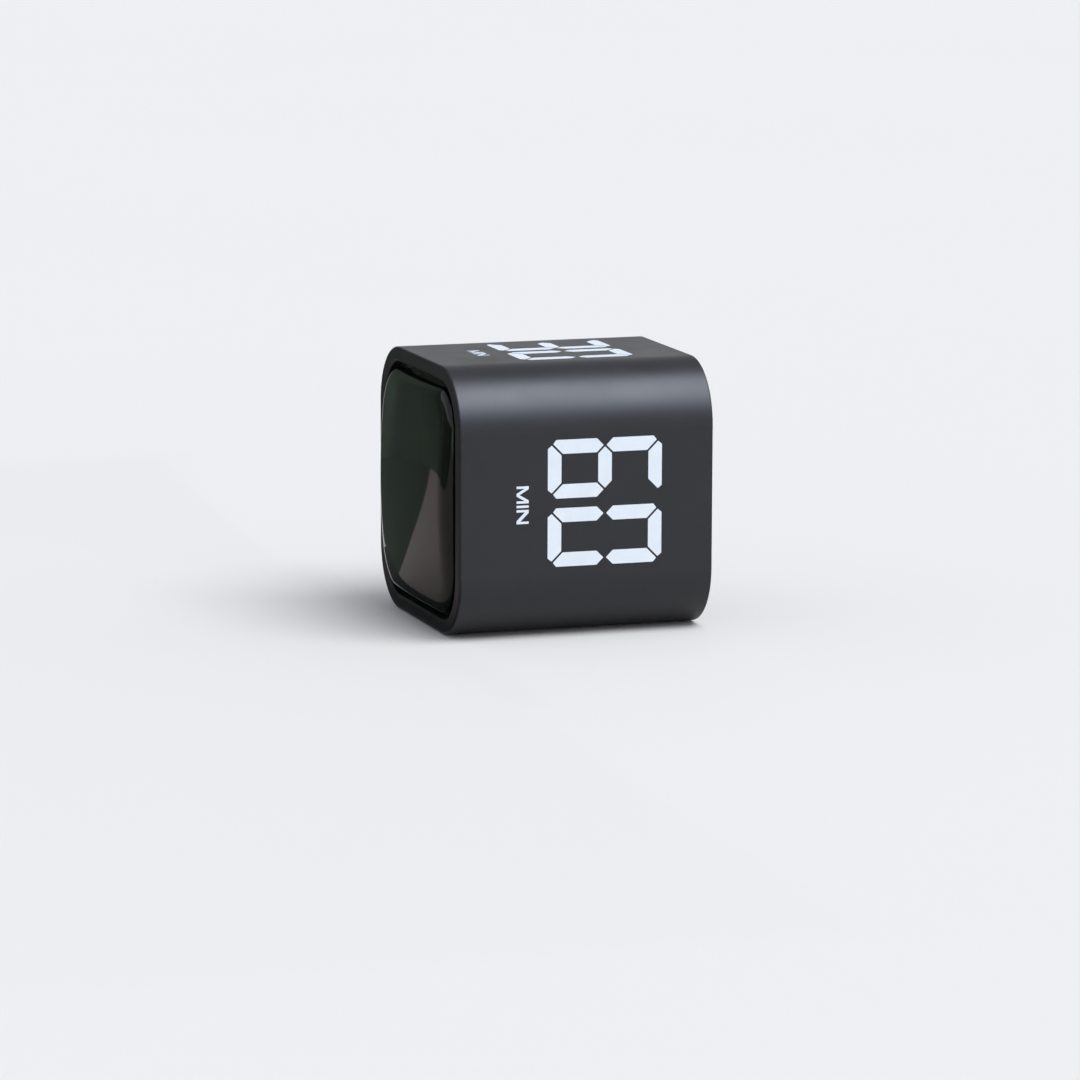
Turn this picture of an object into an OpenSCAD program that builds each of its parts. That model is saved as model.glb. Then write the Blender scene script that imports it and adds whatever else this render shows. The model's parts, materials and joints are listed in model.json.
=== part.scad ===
// Flip timer: a countdown timer in a square case with rounded corners. It counts the time
// whose number is on top when the case stands on one of its four sides. Millimetres.
// X runs along the display, Y from the display to the back, and Z up. The origin is under
// the middle of the whole part, on the side that it stands on.

/* [Case] */
// Width and height of the case
case_w = 60; // [59:1:70]
// Length of the case from its front rim to its back end
case_l = 59; // [50:1:80]
// Outer radius of the case's long corners
case_r = 14; // [13:0.5:15]
// Wall of the case
case_wall = 2; // [1.8:0.1:2.2]
// Width of the rim round the display, seen from the front
rim_w = 3.3; // [2.9:0.1:3.6]
// Thickness of the rim
rim_t = 2; // [1.6:0.1:3]
// Rounding of the rim's outer edge
rim_round = 0.6; // [0.3:0.1:1]
// Bevel on the rim's inner edge
rim_bevel = 0.4; // [0.2:0.1:0.8]
// How far the rear cover lies inside the case's back end
back_inset = 0.6; // [0.4:0.1:2]
// Wall of the case beside the rear cover
back_edge_w = 1; // [0.8:0.1:1.2]
// Rounding of the case's back edge
back_round = 0.4; // [0.2:0.1:0.6]

/* [Lens] */
// Distance from the case's outside to the border of the dome
lens_inset = 4.9; // [4.5:0.1:6]
// Corner radius of the dome's border
lens_r = 9; // [7:0.5:10]
// How far the dome's border lies behind the rim
lens_back = 0.4; // [0.2:0.1:1]
// Height of the dome's rounded edge
edge_rise = 2.5; // [1.5:0.1:3]
// Width of the dome's rounded edge
edge_w = 4.5; // [3:0.1:6]
// Further rise from the rounded edge to the middle of the dome
crown_rise = 0.9; // [0.4:0.1:1.5]
// Wall of the dome
lens_t = 1.8; // [1.2:0.1:2.2]
// Thickness of the flange behind the rim
flange_t = 1.5; // [1:0.1:2.5]
// Thickness of the adhesive frame between rim and flange
tape_t = 0.25; // [0.15:0.05:0.5]

/* [Display] */
// Width of the display module
module_w = 50.3; // [50:0.1:51]
// Height of the display module
module_h = 19; // [18.5:0.5:24]
// Thickness of the module's reflector housing
reflector_t = 7; // [4:0.5:9]
// Thickness of the module's own circuit board
carrier_t = 1; // [0.8:0.1:1.6]
// Height of a digit
digit_h = 12.4; // [10:0.1:13]
// Width of a digit between the middles of its upright segments
digit_w = 6.4; // [5:0.1:6.6]
// Width of a segment
segment_w = 1.6; // [1:0.1:1.8]
// Gap between two segments
segment_gap = 0.5; // [0.3:0.05:0.8]
// Slant of the digits, in degrees
digit_slant = 8; // [0:1:10]
// Distance from one digit to the next
digit_pitch = 12; // [11:0.1:12.2]
// Further distance between the two middle digits
colon_gap = 2; // [1.5:0.1:2.4]
// Radius of a dot of the colon
colon_r = 0.8; // [0.5:0.1:0.9]
// Thickness of the milky filling in each segment
filling_t = 1.5; // [0.8:0.1:2.5]
// Thickness of the mask in front of the module
mask_t = 1; // [0.6:0.1:2]
// How far the mask covers the module's edge at each end
mask_edge = 0.4; // [0.2:0.1:0.6]
// Wall of the light shield
shield_wall = 1.5; // [1:0.1:1.8]

/* [Main board] */
// Thickness of the main board
board_t = 1.6; // [1:0.1:2]
// Distance from the middle of the case to the board's screws, across and up
board_screw_at = 21; // [20:0.5:21]
// Radius of the board screws' shanks
screw_r = 0.75; // [0.6:0.05:0.9]
// Length of the board screws' shanks
screw_l = 6.5; // [4:0.5:8]
// Radius of the board screws' heads
head_r = 1.9; // [1.5:0.1:2.1]
// Height of the board screws' heads
head_h = 1.2; // [0.8:0.1:2]
// Distance between neighbouring display pins
pin_pitch = 2.54; // [2:0.01:2.6]
// Distance between the two rows of display pins
pin_rows = 15.24; // [14.5:0.01:16]
// Radius of a display pin
pin_r = 0.25; // [0.2:0.05:0.35]
// Length, width and height of the controller chip
chip_size = [12.8, 7.5, 2];
// Number of leads along each long side of the chip
chip_leads_n = 10; // [6:1:10]
// Radius of the electrolytic capacitors
capacitor_r = 2.5; // [2:0.5:3]
// Height of the electrolytic capacitors
capacitor_h = 7; // [5:0.5:11]

/* [Tilt sensor] */
// Side of the tilt sensor's square body
tilt_w = 8; // [7.4:0.1:9]
// Radius of the ball that rolls inside the tilt sensor
ball_r = 1.3; // [1:0.1:1.5]
// Radius of the round chamber that holds the ball
chamber_r = 3; // [2.7:0.1:3.2]
// Floor of the chamber
tilt_floor_t = 1.2; // [0.8:0.1:1.6]
// Thickness of the chamber's lid
tilt_lid_t = 0.8; // [0.5:0.1:1.2]

/* [Rear cover] */
// Thickness of the rear cover
cover_t = 2; // [1.8:0.1:2.4]
// Length of the skirt that enters the case
skirt_l = 5; // [4.5:0.5:7]
// Wall of the skirt
skirt_t = 1.3; // [1:0.1:1.4]
// Width of a snap lug
lug_w = 10; // [6:0.5:14]
// Length of a snap lug along the case
lug_l = 2; // [1.5:0.1:2.5]
// Height of a snap lug above the skirt
lug_h = 0.5; // [0.3:0.05:0.6]
// Distance from the middle of the case to a pillar, across
pillar_x = 15.5; // [15:0.5:16]
// Distance from the middle of the case to a pillar, up or down
pillar_z = 22; // [21:0.5:22]
// Width of a pillar's crossed ribs
pillar_w = 5; // [4:0.5:5]
// Thickness of a pillar's ribs
rib_t = 1.2; // [1:0.1:1.6]
// Radius of a sound hole
sound_hole_r = 0.7; // [0.4:0.1:0.9]
// Radius of the circle of sound holes
sound_ring_r = 2.4; // [2:0.1:2.6]

/* [Battery bay] */
// Diameter of a cell
cell_d = 10.5; // [10.3:0.1:10.6]
// Length of a cell with its button
cell_l = 44.5; // [43.5:0.1:44.8]
// Gap between the two cells
cell_gap = 0.8; // [0.5:0.1:1.2]
// Gap between a cell and its trough
trough_gap = 0.3; // [0.2:0.05:0.5]
// Wall round the battery bay
bay_wall = 1.4; // [1.2:0.1:1.8]
// Thickness of the contact plates
plate_t = 0.4; // [0.3:0.05:0.5]
// Width of a contact plate beside one cell
plate_w = 9.2; // [8:0.1:9.4]
// Height of the dimple that touches a cell's button
dimple_h = 0.6; // [0.4:0.1:0.8]
// Thickness of the rails that hold the plates
rail_t = 0.55; // [0.4:0.05:0.8]
// Width of the opening between a plate's rails
rail_opening = 7.8; // [7:0.1:8]

/* [Contact springs] */
// Length of a contact spring with the cell in place
spring_l = 4.1; // [3.6:0.1:4.4]
// Radius of the spring's wire
wire_r = 0.25; // [0.2:0.05:0.3]
// Radius of the curl at the plate
curl_base_r = 3.3; // [2.8:0.1:3.4]
// Radius of the curl at the cell
curl_tip_r = 2; // [1.6:0.1:2.4]
// Number of curls
curls = 3; // [2:1:3]

/* [Battery door] */
// Thickness of the door
door_t = 1.8; // [1.4:0.1:2]
// Width of the ledge that the door rests on
door_ledge = 0.9; // [0.6:0.1:1.2]
// Gap at the ends of the door
door_gap = 0.25; // [0.15:0.05:0.4]
// Gap at the hinged edge of the door
hinge_gap = 0.3; // [0.2:0.05:0.4]
// Gap at the latch edge of the door
latch_gap = 0.4; // [0.4:0.05:0.6]
// Width of a hinge tab
tab_w = 6; // [4:0.5:8]
// Length of a hinge tab beyond the hinge line
tab_l = 1.6; // [1.2:0.1:2]
// Thickness of a hinge tab
tab_t = 1; // [0.8:0.1:1.2]
// Distance from the middle of the door to a hinge tab
tab_x = 15; // [8:0.5:18]
// Width of the latch tongue
tongue_w = 12; // [8:0.5:16]
// Length of the slots beside the latch tongue
tongue_l = 7.5; // [5:0.5:9]
// Width of the slots beside the latch tongue
tongue_slot = 0.8; // [0.6:0.1:1.2]
// How far the latch nub stands out of the tongue
nub_h = 0.3; // [0.2:0.05:0.3]
// Radius of the finger recess below the latch
recess_r = 7; // [5:0.5:10]
// How far the finger recess reaches below the door
recess_drop = 3; // [2:0.5:3]
// Depth of the finger recess
recess_t = 0.9; // [0.6:0.1:1]

/* [Switch] */
// Travel of the switch knob each way from its middle position
switch_travel = 2; // [1:0.1:2]
// Length, width and height of the switch's metal frame
switch_size = [13, 5.6, 4.3];
// Thickness of the frame's sheet metal
frame_t = 0.4; // [0.3:0.05:0.5]
// Width of the lever
lever_w = 2; // [1.6:0.1:2.2]
// Distance from the middle of the case up to the switch
switch_z = 19.4; // [18.8:0.1:20]
// Length and width of the switch board
switch_board_size = [22, 8.4];
// Thickness of the switch board
switch_board_t = 1.2; // [0.8:0.1:1.6]
// Distance from the switch's middle to its board's screws
switch_screw_x = 8.9; // [8.8:0.1:9.2]
// Width of the knob's base across its travel
knob_h = 4.4; // [4:0.1:5]
// Thickness of the knob's base
knob_base_t = 1; // [0.8:0.1:1.2]
// Height of the knob's grip above its base
knob_grip_h = 0.6; // [0.3:0.1:0.6]
// Length of the knob's grip
knob_grip_l = 5; // [4:0.5:6]
// Thickness of the cover's web under the knob
web_t = 0.8; // [0.6:0.1:1]

/* [Buzzer] */
// Radius of the buzzer
buzzer_r = 6; // [5:0.1:6]
// Length of the buzzer
buzzer_l = 6.4; // [5:0.1:9]
// Wall of the buzzer
buzzer_wall = 0.6; // [0.5:0.1:1]
// Radius of the buzzer's sound hole
buzzer_hole_r = 1.2; // [0.8:0.1:2]
// Distance from the middle of the case down to the buzzer
buzzer_z = 19.4; // [19:0.1:19.6]
// Wall of the ring that holds the buzzer
ring_wall = 0.7; // [0.6:0.1:0.7]

/* [Leads] */
// Radius of a lead
lead_r = 0.6; // [0.4:0.1:0.7]
// Distance between neighbouring leads
lead_pitch = 3; // [2.4:0.1:4]
// How far a lead bows out between its ends
lead_bow = 1.2; // [0:0.1:1.6]

/* [Fits] */
// Gap between the case and what slides into it
slide_gap = 0.15; // [0.1:0.05:0.2]
// Gap between the inner frames and the case
frame_gap = 0.3; // [0.2:0.05:0.4]
// Gap between a piece and the pocket that holds it
seat_gap = 0.05; // [0.03:0.01:0.1]
// Gap between a moving piece and its guide
move_gap = 0.3; // [0.2:0.05:0.4]

/* [Hidden] */

// Sides of a full circle
$fn = 64;
// How far a cut runs past the face that it opens
cut = 0.2;

// The case seen from the front
case_half = case_w / 2;
inner_half = case_half - case_wall;
inner_r = case_r - case_wall;
mid_z = case_half;
dome_out = edge_rise + crown_rise - lens_back;
rim_y = (dome_out - case_l) / 2;

// The lens
lens_half = case_half - lens_inset;
flange_half = inner_half - slide_gap;
flange_r = inner_r - slide_gap;
flange_d = rim_t + tape_t;
shield_d = flange_d + flange_t;
tape_in_half = case_half - rim_w + slide_gap;
tape_in_r = case_r - rim_w + slide_gap;
// Steps in each quarter of the lens's outlines, and rings in its rounded edge and crown
lens_steps = 16;
edge_rings = 6;
crown_rings = 5;

// The display module and the main board
module_d = shield_d + mask_t;
carrier_d = module_d + reflector_t;
board_d = carrier_d + carrier_t;
board_back = board_d + board_t;
shield_half = inner_half - frame_gap;
shield_r = inner_r - frame_gap;
window_w = module_w - 2 * mask_edge;
window_h = digit_h + segment_w + 2;
boss_r = screw_r + 1.6;
segment_flat = digit_h / 2 - segment_gap;
bar_flat = digit_w - segment_gap;
digit_x = [for (side = [-1, 1]) for (place = [0.5, 1.5]) side * (place * digit_pitch + colon_gap / 2)];
pins_in_row = 6;
pin_stub = 1.2;
pin_hole_r = pin_r + 0.2;
chip_w = 2.0;
chip_h = 1.2;
chip_t = 0.4;

// Parts on the back of the main board, across and up from its middle
tilt_at = [9, -15.5];
capacitor_at = [[-9, -15.5], [-15.5, -14]];
crystal_at = [-14, 0];
crystal_size = [5, 3.2, 1.3];
resistor_at = [13, 4];
resistor_size = [0.8, 1.6, 0.55];
resistor_pitch = 2;
resistors_in_row = 6;
transistor_at = [0, 12];
transistor_size = [2.9, 1.3, 1];
transistor_pitch = 5;
transistors_n = 5;
transistor_leg = 0.5;
lead_foot = 0.8;
lead_thick = 0.25;
lead_wide = 0.45;
chip_lift = 0.15;
chip_pitch = 1.27;
capacitor_bevel = 0.4;

// The tilt sensor, counted from the back of the main board
chamber_h = 2 * ball_r + 0.4;
orbit_r = chamber_r - ball_r - seat_gap;
tilt_contact_r = 0.5;

// The rear cover
cover_out = case_l - back_inset;
cover_d = cover_out - cover_t;
cover_half = case_half - back_edge_w - slide_gap;
cover_r = case_r - back_edge_w - slide_gap;
skirt_half = inner_half - slide_gap;
skirt_r = inner_r - slide_gap;
lug_d = cover_d - skirt_l + 1.1;
lug_face = 0.6;
pocket_gap = 0.1;
sound_holes = 6;

// The battery bay: the cells lie along X, one above the other
cell_r = cell_d / 2;
cell_z = (cell_d + cell_gap) / 2;
cell_axis_d = cover_out - door_t - trough_gap - cell_r;
trough_r = cell_r + trough_gap;
contact_x = (cell_l + dimple_h + spring_l) / 2;
slot_gap = 0.05;
bay_half_l = contact_x - slot_gap - rail_t;
slot_out = contact_x + plate_t + slot_gap;
bay_half_h = cell_z + trough_r;
bay_floor_d = cell_axis_d - trough_r;
bay_front_d = bay_floor_d - bay_wall;
bay_out_l = max(slot_out + bay_wall, skirt_half - skirt_t + cut);
bay_out_h = bay_half_h + bay_wall;
ridge_drop = 2.5;
plate_d = bay_floor_d + 0.7;
plate_l = cover_out - door_t - 0.3 - plate_d;
tail_w = 2.4;
tail_l = plate_d - bay_front_d + 2;
dimple_r = 2;

// The cells
jacket_t = 0.2;
can_r = cell_r - jacket_t - 0.03;
button_r = 1.9;
button_h = 0.8;
shoulder = 0.5;
jacket_end = 0.7;

// The battery door
door_half_l = bay_half_l + door_ledge;
door_half_h = bay_half_h + door_ledge;
door_d = cover_out - door_t;
hinge_z = door_half_h + hinge_gap / 2;
tab_gap = 0.15;
tab_d = cover_out - cover_t - tab_gap - tab_t;
tab_root = 1.7;
tab_sweep = norm([tab_root, cover_out - tab_d]) + move_gap;
stiffener_h = 2.5;
stiffener_t = 1.4;
nub_r = 0.35;
nub_w = 8;
nub_d = door_d + 0.45;
grip_h = 0.35;
grip_w = 0.6;
grip_pitch = 1.5;
grips = 3;

// The switch
switch_top_gap = 0.1;
switch_back_d = cover_d - switch_top_gap - switch_size[2];
switch_board_d = switch_back_d - switch_board_t;
base_h = 2;
foot_gap = 0.1;
foot_l = 5;
web_d = cover_d + web_t;
knob_d = web_d + 0.1;
knob_half_l = lever_w / 2 + 2 * (switch_travel + move_gap);
track_half_l = knob_half_l + switch_travel + move_gap;
lever_top = knob_d + 0.7;
lever_slot_l = lever_w + 2 * (switch_travel + move_gap);
lever_slot_w = lever_w + 2 * move_gap;
knob_ribs = 4;
small_screw_r = 0.65;
small_screw_l = 4.4;
small_head_r = 1.5;
small_head_h = 1;
small_boss_r = 1.9;
terminal_w = 0.6;
terminal_t = 0.3;
terminal_pitch = 2.5;
terminals_n = 4;
terminal_stub = 1.3;

// The buzzer
buzzer_d = cover_d - buzzer_l;
ring_l = 3;
disc_t = 0.3;
disc_step = 1.4;
base_t = 1;
buzzer_pin_r = 0.3;
buzzer_pin_l = 2;

// The leads
lead_steps = 12;
lead_sides = 8;
lead_pad_x = 2.5;
switch_pad_z = 2.6;
battery_pad_z = cell_z + 4;
battery_pad_x = 3 * shield_wall - shield_half;

// Rings in a curl and sides of the spring's wire
curl_rings = 8;
wire_sides = 6;

// Colours
case_color = [0.11, 0.11, 0.12];
lens_color = [0.05, 0.09, 0.08, 0.75];
board_color = [0.08, 0.3, 0.16];
metal_color = [0.75, 0.76, 0.78];
gold_color = [0.85, 0.7, 0.35];
chip_color = [0.09, 0.09, 0.1];
milk_color = [0.93, 0.93, 0.9];

// Places what is drawn from the middle of the front rim, with Y as the depth behind the rim
module in_case() {
    translate([0, rim_y, mid_z]) children();
}

// An outline drawn as seen from the front, t thick from depth d on
module slab(d, t) {
    translate([0, d + t, 0]) rotate([90, 0, 0]) linear_extrude(t) children();
}

// A round bar along the depth, l long from depth d on
module bar(r, d, l) {
    translate([0, d, 0]) rotate([-90, 0, 0]) cylinder(r = r, h = l);
}

// A box w wide and h high, l long from depth d on
module block(w, h, d, l) {
    translate([-w / 2, d, -h / 2]) cube([w, l, h]);
}

// A place across and up from the middle of the case
module place(at) {
    translate([at[0], 0, at[1]]) children();
}

function turned(p, a) = [p[0] * cos(a) - p[1] * sin(a), p[0] * sin(a) + p[1] * cos(a)];

// A square outline with round corners
module round_square(half, r) {
    flat = half - r;
    polygon([for (turn = [0 : 3]) for (end = [-1, 1]) turned([half, end * flat], 90 * turn)]);
    for (x = [-flat, flat]) for (y = [-flat, flat]) translate([x, y]) circle(r);
}

// A profile swept round a square with round corners. In the profile, X is the distance
// inwards from the outline and Y the depth.
module round_ring(half, r) {
    flat = half - r;
    for (turn = [0 : 3]) rotate([0, 90 * turn, 0]) {
        translate([half, 0, -flat]) linear_extrude(2 * flat) mirror([1, 0]) children();
        translate([flat, 0, -flat]) rotate([-90, 0, 0]) rotate_extrude(angle = 90)
            translate([r, 0]) mirror([1, 0]) children();
    }
}

// A tube swept along a path. Each point of the path has a direction that its ring starts from.
module tube(path, starts, r, sides) {
    last = len(path) - 1;
    function unit(v) = v / norm(v);
    function way(i) = unit(path[min(i + 1, last)] - path[max(i - 1, 0)]);
    function across(i) = unit(starts[i] - (starts[i] * way(i)) * way(i));
    function ring_point(i, a) = path[i] + r * (cos(a) * across(i) + sin(a) * cross(way(i), across(i)));
    points = [for (i = [0 : last]) for (k = [0 : sides - 1]) ring_point(i, 360 * k / sides)];
    walls = [for (i = [0 : last - 1]) for (k = [0 : sides - 1]) for (half = [0, 1])
        let (a = i * sides + k, b = i * sides + (k + 1) % sides)
        half == 0 ? [a, a + sides, b + sides] : [a, b + sides, b]];
    ends = [[for (k = [0 : sides - 1]) k], [for (k = [sides - 1 : -1 : 0]) last * sides + k]];
    polyhedron(points, concat(walls, ends));
}

// The case

module sleeve_profile() {
    polygon([[rim_round, 0], [rim_w - rim_bevel, 0], [rim_w, rim_bevel], [rim_w, rim_t],
        [case_wall, rim_t], [case_wall, cover_d], [back_edge_w, cover_d], [back_edge_w, case_l],
        [back_round, case_l], [0, case_l - back_round], [0, rim_round]]);
    translate([rim_round, rim_round]) circle(rim_round);
    translate([back_round, case_l - back_round]) circle(back_round);
}

module housing_sleeve() {
    color(case_color) in_case() difference() {
        round_ring(case_half, case_r) sleeve_profile();
        for (turn = [0 : 3]) rotate([0, 90 * turn, 0])
            translate([inner_half - cut, lug_d - pocket_gap, -lug_w / 2 - pocket_gap])
            cube([lug_h + cut, lug_l + 2 * pocket_gap, lug_w + 2 * pocket_gap]);
    }
}

// The lens

// Rise of the dome's rounded edge at a distance inwards from the border
function edge_roll(inset) = edge_rise * sqrt(1 - pow(1 - min(inset / edge_w, 1), 3));

// Further rise of the dome at a place across and up from its middle
function crown(x, z) = crown_rise * (1 - pow(x / lens_half, 2)) * (1 - pow(z / lens_half, 2));

// A point on an outline with round corners, counted round from the first corner's start
function outline_point(half, r, i) =
    let (turn = floor(i / lens_steps), k = i % lens_steps, n = lens_steps / 2, flat = half - r)
    let (at = k < n ? [flat + r * cos(90 * k / n), flat + r * sin(90 * k / n)]
        : [flat - 2 * flat * (k - n) / n, half])
    turned(at, 90 * turn);

// One ring of the dome, outside for t = 0 and inside for t = lens_t. The outline shrinks at an
// even distance through the rounded edge and in proportion through the crown.
function dome_ring(share_edge, share_crown, t) =
    let (inset = edge_w * (1 - share_edge))
    let (half = (lens_half - t - inset) * share_crown, r = max(lens_r - t - inset, 0.5) * share_crown)
    [for (i = [0 : 4 * lens_steps - 1]) let (p = outline_point(half, r, i))
        [p[0], lens_back + t - edge_roll(inset) - crown(p[0], p[1]), p[1]]];

// A ring of the same outline at one depth
function flat_ring(half, r, d) =
    [for (i = [0 : 4 * lens_steps - 1]) let (p = outline_point(half, r, i)) [p[0], d, p[1]]];

module display_lens() {
    n = 4 * lens_steps;
    crown_shares = [for (i = [1 : crown_rings]) i / crown_rings];
    edge_shares = [for (i = [1 : edge_rings]) pow(i / edge_rings, 0.6)];
    outside = concat([for (s = crown_shares) dome_ring(0, s, 0)], [for (s = edge_shares) dome_ring(s, 1, 0)]);
    inside = concat([for (s = crown_shares) dome_ring(0, s, lens_t)],
        [for (s = edge_shares) dome_ring(s, 1, lens_t)]);
    in_half = lens_half - lens_t;
    in_r = lens_r - lens_t;
    flange = [flat_ring(lens_half, lens_r, flange_d), flat_ring(flange_half, flange_r, flange_d),
        flat_ring(flange_half, flange_r, shield_d), flat_ring(in_half, in_r, shield_d)];
    rings = concat(outside, flange, [for (i = [len(inside) - 1 : -1 : 0]) inside[i]]);
    last = len(rings) - 1;
    tip = [0, -dome_out, 0];
    points = concat([for (ring = rings) each ring], [tip, tip + [0, lens_t, 0]]);
    walls = [for (j = [0 : last - 1]) for (i = [0 : n - 1]) for (half = [0, 1])
        let (a = j * n + i, b = j * n + (i + 1) % n)
        half == 0 ? [a, b, b + n] : [a, b + n, a + n]];
    front = [for (i = [0 : n - 1]) [(last + 1) * n, (i + 1) % n, i]];
    back = [for (i = [0 : n - 1]) [(last + 1) * n + 1, last * n + i, last * n + (i + 1) % n]];
    color(lens_color) in_case() polyhedron(points, concat(walls, front, back));
}

module lens_adhesive() {
    color("dimgray") in_case() slab(rim_t, tape_t) difference() {
        round_square(flange_half, flange_r);
        round_square(tape_in_half, tape_in_r);
    }
}

// The display module

// The six corners of a segment: pointed at both ends, slanted with its digit
function segment_points(x, y, upright, l, w) =
    [for (p = [[-l / 2, 0], [(w - l) / 2, w / 2], [(l - w) / 2, w / 2], [l / 2, 0],
            [(l - w) / 2, -w / 2], [(w - l) / 2, -w / 2]])
        let (q = upright ? [-p[1], p[0]] : p)
        [x + q[0] + (y + q[1]) * tan(digit_slant), y + q[1]]];

// Every place of one digit's seven segments: across, up and whether it is upright
segment_places = concat(
    [for (row = [-1, 0, 1]) [0, row * digit_h / 2, false]],
    [for (x = [-1, 1]) for (row = [-1, 1]) [x * digit_w / 2, row * digit_h / 4, true]]);
colon_places = [for (row = [-1, 1]) [row * digit_h / 4 * tan(digit_slant), row * digit_h / 4]];

// All the segments and dots, each smaller by a gap all round
module segments(gap) {
    w = segment_w - 2 * gap;
    for (x = digit_x) translate([x, 0]) for (s = segment_places) {
        l = (s[2] ? segment_flat : bar_flat) - 2 * gap;
        polygon(segment_points(s[0], s[1], s[2], l, w));
    }
    for (at = colon_places) translate(at) circle(colon_r - gap);
}

module display_reflector() {
    color("gray") in_case() slab(module_d, reflector_t) difference() {
        square([module_w, module_h], center = true);
        segments(0);
    }
}

module display_segments() {
    color(milk_color) in_case() slab(module_d, filling_t) segments(seat_gap);
}

module display_carrier() {
    color(board_color) in_case() block(module_w, module_h, carrier_d, carrier_t);
}

module led_chips() {
    color("khaki") in_case() {
        for (x = digit_x) for (s = segment_places)
            place([x + s[0] + s[1] * tan(digit_slant), s[1]])
            block(s[2] ? chip_h / 2 : chip_w, s[2] ? chip_w : chip_h / 2, carrier_d - chip_t, chip_t);
        for (at = colon_places) place(at) block(chip_h / 2, chip_h / 2, carrier_d - chip_t, chip_t);
    }
}

// What sits at each display pin
module at_pins() {
    for (z = [-1, 1]) for (i = [0 : pins_in_row - 1])
        place([(i - (pins_in_row - 1) / 2) * pin_pitch, z * pin_rows / 2]) children();
}

module display_pins() {
    color(metal_color) in_case() at_pins() bar(pin_r, board_d, board_t + pin_stub);
}

// The light shield and the main board

// What sits at each of the main board's screws
module at_screws() {
    for (x = [-1, 1]) for (z = [-1, 1]) place([x, z] * board_screw_at) children();
}

module light_shield() {
    color(case_color) in_case() difference() {
        union() {
            slab(shield_d, mask_t) difference() {
                round_square(shield_half, shield_r);
                square([window_w, window_h], center = true);
            }
            slab(module_d, board_d - module_d) difference() {
                round_square(shield_half, shield_r);
                round_square(shield_half - shield_wall, shield_r - shield_wall);
            }
            at_screws() bar(boss_r, shield_d, board_d - shield_d);
        }
        at_screws() bar(screw_r + seat_gap, board_back - screw_l - cut, screw_l);
    }
}

module main_board() {
    color(board_color) in_case() slab(board_d, board_t) difference() {
        round_square(shield_half, shield_r);
        for (x = [-1, 1]) for (z = [-1, 1]) translate([x, z] * board_screw_at) circle(screw_r + move_gap);
        for (z = [-1, 1]) for (i = [0 : pins_in_row - 1])
            translate([(i - (pins_in_row - 1) / 2) * pin_pitch, z * pin_rows / 2]) circle(pin_hole_r);
    }
}

module board_screws() {
    color(metal_color) in_case() at_screws() {
        bar(screw_r, board_back - screw_l, screw_l);
        bar(head_r, board_back, head_h);
    }
}

module controller_chip() {
    color(chip_color) in_case() block(chip_size[0], chip_size[1], board_back + chip_lift, chip_size[2]);
}

module chip_leads() {
    rise = chip_lift + chip_size[2] / 2;
    color(metal_color) in_case() for (side = [0, 1]) for (i = [0 : chip_leads_n - 1])
        rotate([0, 180 * side, 0]) translate([(i - (chip_leads_n - 1) / 2) * chip_pitch - lead_wide / 2,
            board_back, chip_size[1] / 2]) {
            translate([0, rise, 0]) cube([lead_wide, lead_thick, 2 * lead_thick]);
            translate([0, 0, lead_thick]) cube([lead_wide, rise + lead_thick, lead_thick]);
            translate([0, 0, lead_thick]) cube([lead_wide, lead_thick, lead_foot]);
        }
}

module crystal_can() {
    color(metal_color) in_case() place(crystal_at)
        block(crystal_size[0], crystal_size[1], board_back, crystal_size[2]);
}

module capacitors() {
    color([0.12, 0.14, 0.3]) in_case() for (at = capacitor_at) place(at) {
        bar(capacitor_r, board_back, capacitor_h - capacitor_bevel);
        bar(capacitor_r - capacitor_bevel, board_back, capacitor_h);
    }
}

module resistors() {
    color(chip_color) in_case() for (row = [0, 1]) for (i = [0 : resistors_in_row - 1])
        place(resistor_at + [i * resistor_pitch, -row * 2 * resistor_size[1]])
        block(resistor_size[0], resistor_size[1], board_back, resistor_size[2]);
}

module digit_transistors() {
    color(chip_color) in_case() for (i = [0 : transistors_n - 1])
        place(transistor_at + [(i - (transistors_n - 1) / 2) * transistor_pitch, 0]) {
            block(transistor_size[0], transistor_size[1], board_back, transistor_size[2]);
            block(transistor_leg, transistor_size[1] + 2 * transistor_leg, board_back, lead_thick);
        }
}

// The tilt sensor

module tilt_sensor_case() {
    color("saddlebrown") in_case() place(tilt_at) difference() {
        block(tilt_w, tilt_w, board_back, tilt_floor_t + chamber_h);
        bar(chamber_r, board_back + tilt_floor_t, chamber_h + cut);
        at_contacts() bar(tilt_contact_r + seat_gap, board_back - cut, tilt_floor_t + 2 * cut);
    }
}

// What sits at each of the four contacts in the chamber's floor
module at_contacts() {
    for (turn = [0 : 3]) rotate([0, 45 + 90 * turn, 0]) translate([orbit_r, 0, 0]) children();
}

module tilt_sensor_contacts() {
    color(gold_color) in_case() place(tilt_at) at_contacts() bar(tilt_contact_r, board_back, tilt_floor_t);
}

module tilt_sensor_ball() {
    color(metal_color) in_case() place(tilt_at)
        translate([0, board_back + tilt_floor_t + chamber_h / 2, -orbit_r]) sphere(ball_r);
}

module tilt_sensor_lid() {
    color("saddlebrown") in_case() place(tilt_at)
        block(tilt_w, tilt_w, board_back + tilt_floor_t + chamber_h, tilt_lid_t);
}

// The rear cover

// What sits over each cell, upper first
module at_cells() {
    for (z = [1, -1]) translate([0, 0, z * cell_z]) children();
}

module snap_lug() {
    root = skirt_half - skirt_t / 2;
    top = skirt_half + lug_h;
    end = lug_d + lug_l;
    translate([0, 0, -lug_w / 2]) linear_extrude(lug_w)
        polygon([[root, lug_d], [skirt_half, lug_d], [top, end - lug_face], [top, end], [root, end]]);
}

module pillar() {
    l = cover_d - board_back + cut;
    block(pillar_w, rib_t, board_back, l);
    block(rib_t, pillar_w, board_back, l);
}

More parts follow.
